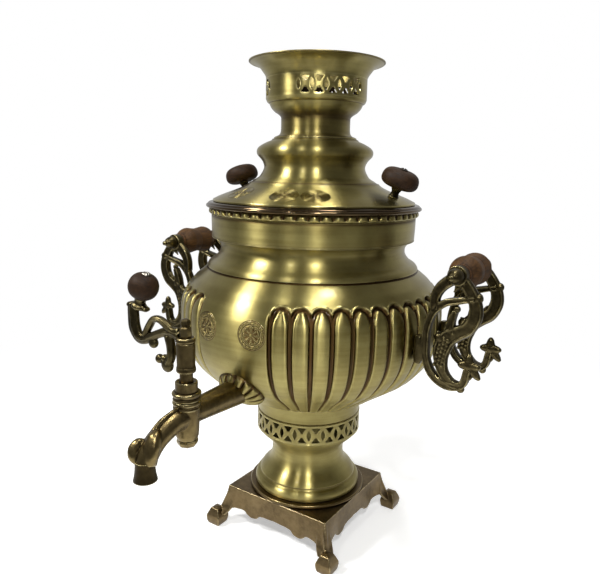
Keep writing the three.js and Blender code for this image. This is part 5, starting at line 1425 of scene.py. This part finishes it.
def floor():
    """A pale floor that fades into the room's light far out."""
    g = new_look("floor")
    place, places = g.place()
    radius = g.round_place(places)[2]
    path = g.node("LightPath")
    direct, mirrored = path["Is Camera Ray"], path["Is Glossy Ray"]
    matt = g.node("BsdfPrincipled", {
        "Base Color": g.mix(g.noise(place, 3.0), (0.80, 0.80, 0.79, 1), (0.84, 0.84, 0.83, 1)),
        "Roughness": 0.75,
    })
    seen = g.math("MAXIMUM", direct, g.times(mirrored, FLOOR_MIRRORED))
    lift = g.node("Emission", {"Strength": g.times(seen, FLOOR_LIFT)})
    near = g.node("AddShader", {0: matt["BSDF"], 1: lift[0]})
    away = g.times(places[1], math.cos(VIEW_TURN)), g.times(places[0], math.sin(VIEW_TURN))
    behind = g.spread(g.math("SUBTRACT", *away), 0.0, 0.7)
    glow = g.plus(ROOM_DIM, g.times(behind, ROOM_PALE - ROOM_DIM))
    white = g.node("Emission", {"Strength": g.math("MAXIMUM", glow, direct)})
    share = g.times(g.spread(radius, 0.25, 0.8), g.math("MAXIMUM", direct, mirrored))
    far = g.node("MixShader", {0: share, 1: near[0], 2: white[0]})
    g.node("OutputMaterial", {"Surface": far[0]})
    mesh = bpy.data.meshes.new("floor")
    corners = [(x * FLOOR_HALF, y * FLOOR_HALF, 0) for x, y in ((-1, -1), (1, -1), (1, 1), (-1, 1))]
    mesh.from_pydata(corners, [], [(0, 1, 2, 3)])
    mesh.materials.append(LOOKS["floor"])
    ground = bpy.data.objects.new("floor", mesh)
    bpy.context.scene.collection.objects.link(ground)


def room():
    """Pale behind the urn, as its background is, and dim behind the camera."""
    world = bpy.data.worlds.new("studio")
    g = Graph(world)
    direction = g.node("TexCoord")["Generated"]
    behind = (-math.sin(VIEW_TURN), math.cos(VIEW_TURN), ROOM_RISE)
    facing = g.node("VectorMath", {0: direction, 1: behind}, operation="DOT_PRODUCT")["Value"]
    inputs = {"Value": facing, "From Min": -0.05, "From Max": 0.8, "To Min": ROOM_DIM, "To Max": ROOM_PALE}
    level = g.node("MapRange", inputs, interpolation_type="SMOOTHSTEP")["Result"]
    lit = g.node("Background", {"Color": (1, 1, 1, 1), "Strength": level})
    seen = g.node("Background", {"Color": (1, 1, 1, 1)})
    mixer = g.node("MixShader", {0: g.node("LightPath")["Is Camera Ray"], 1: lit[0], 2: seen[0]})
    g.node("OutputWorld", {0: mixer[0]})
    bpy.context.scene.world = world


def lamps():
    for name, (degrees, height, distance, size, power) in LAMPS.items():
        a, e = math.radians(degrees), math.radians(height)
        heading = Vector((math.sin(a) * math.cos(e), -math.cos(a) * math.cos(e), math.sin(e)))
        spot = LAMP_TARGET + heading * distance
        lamp = bpy.data.lights.new(name, "AREA")
        lamp.shape = "DISK"
        lamp.size = size
        lamp.energy = power
        held = bpy.data.objects.new(name, lamp)
        turn = (LAMP_TARGET - spot).to_track_quat("-Z", "Y").to_matrix().to_4x4()
        held.matrix_world = Matrix.Translation(spot) @ turn
        bpy.context.scene.collection.objects.link(held)


camera()
floor()
room()
lamps()
bpy.context.scene.view_settings.view_transform = "Standard"
base_casting()
foot()
pedestal()
crown()
belly()
belly_reliefs()
collar()
beads()
mouth_ring()
hood()
lid_knobs()
handles()
tap()
lever()
inner_pieces()
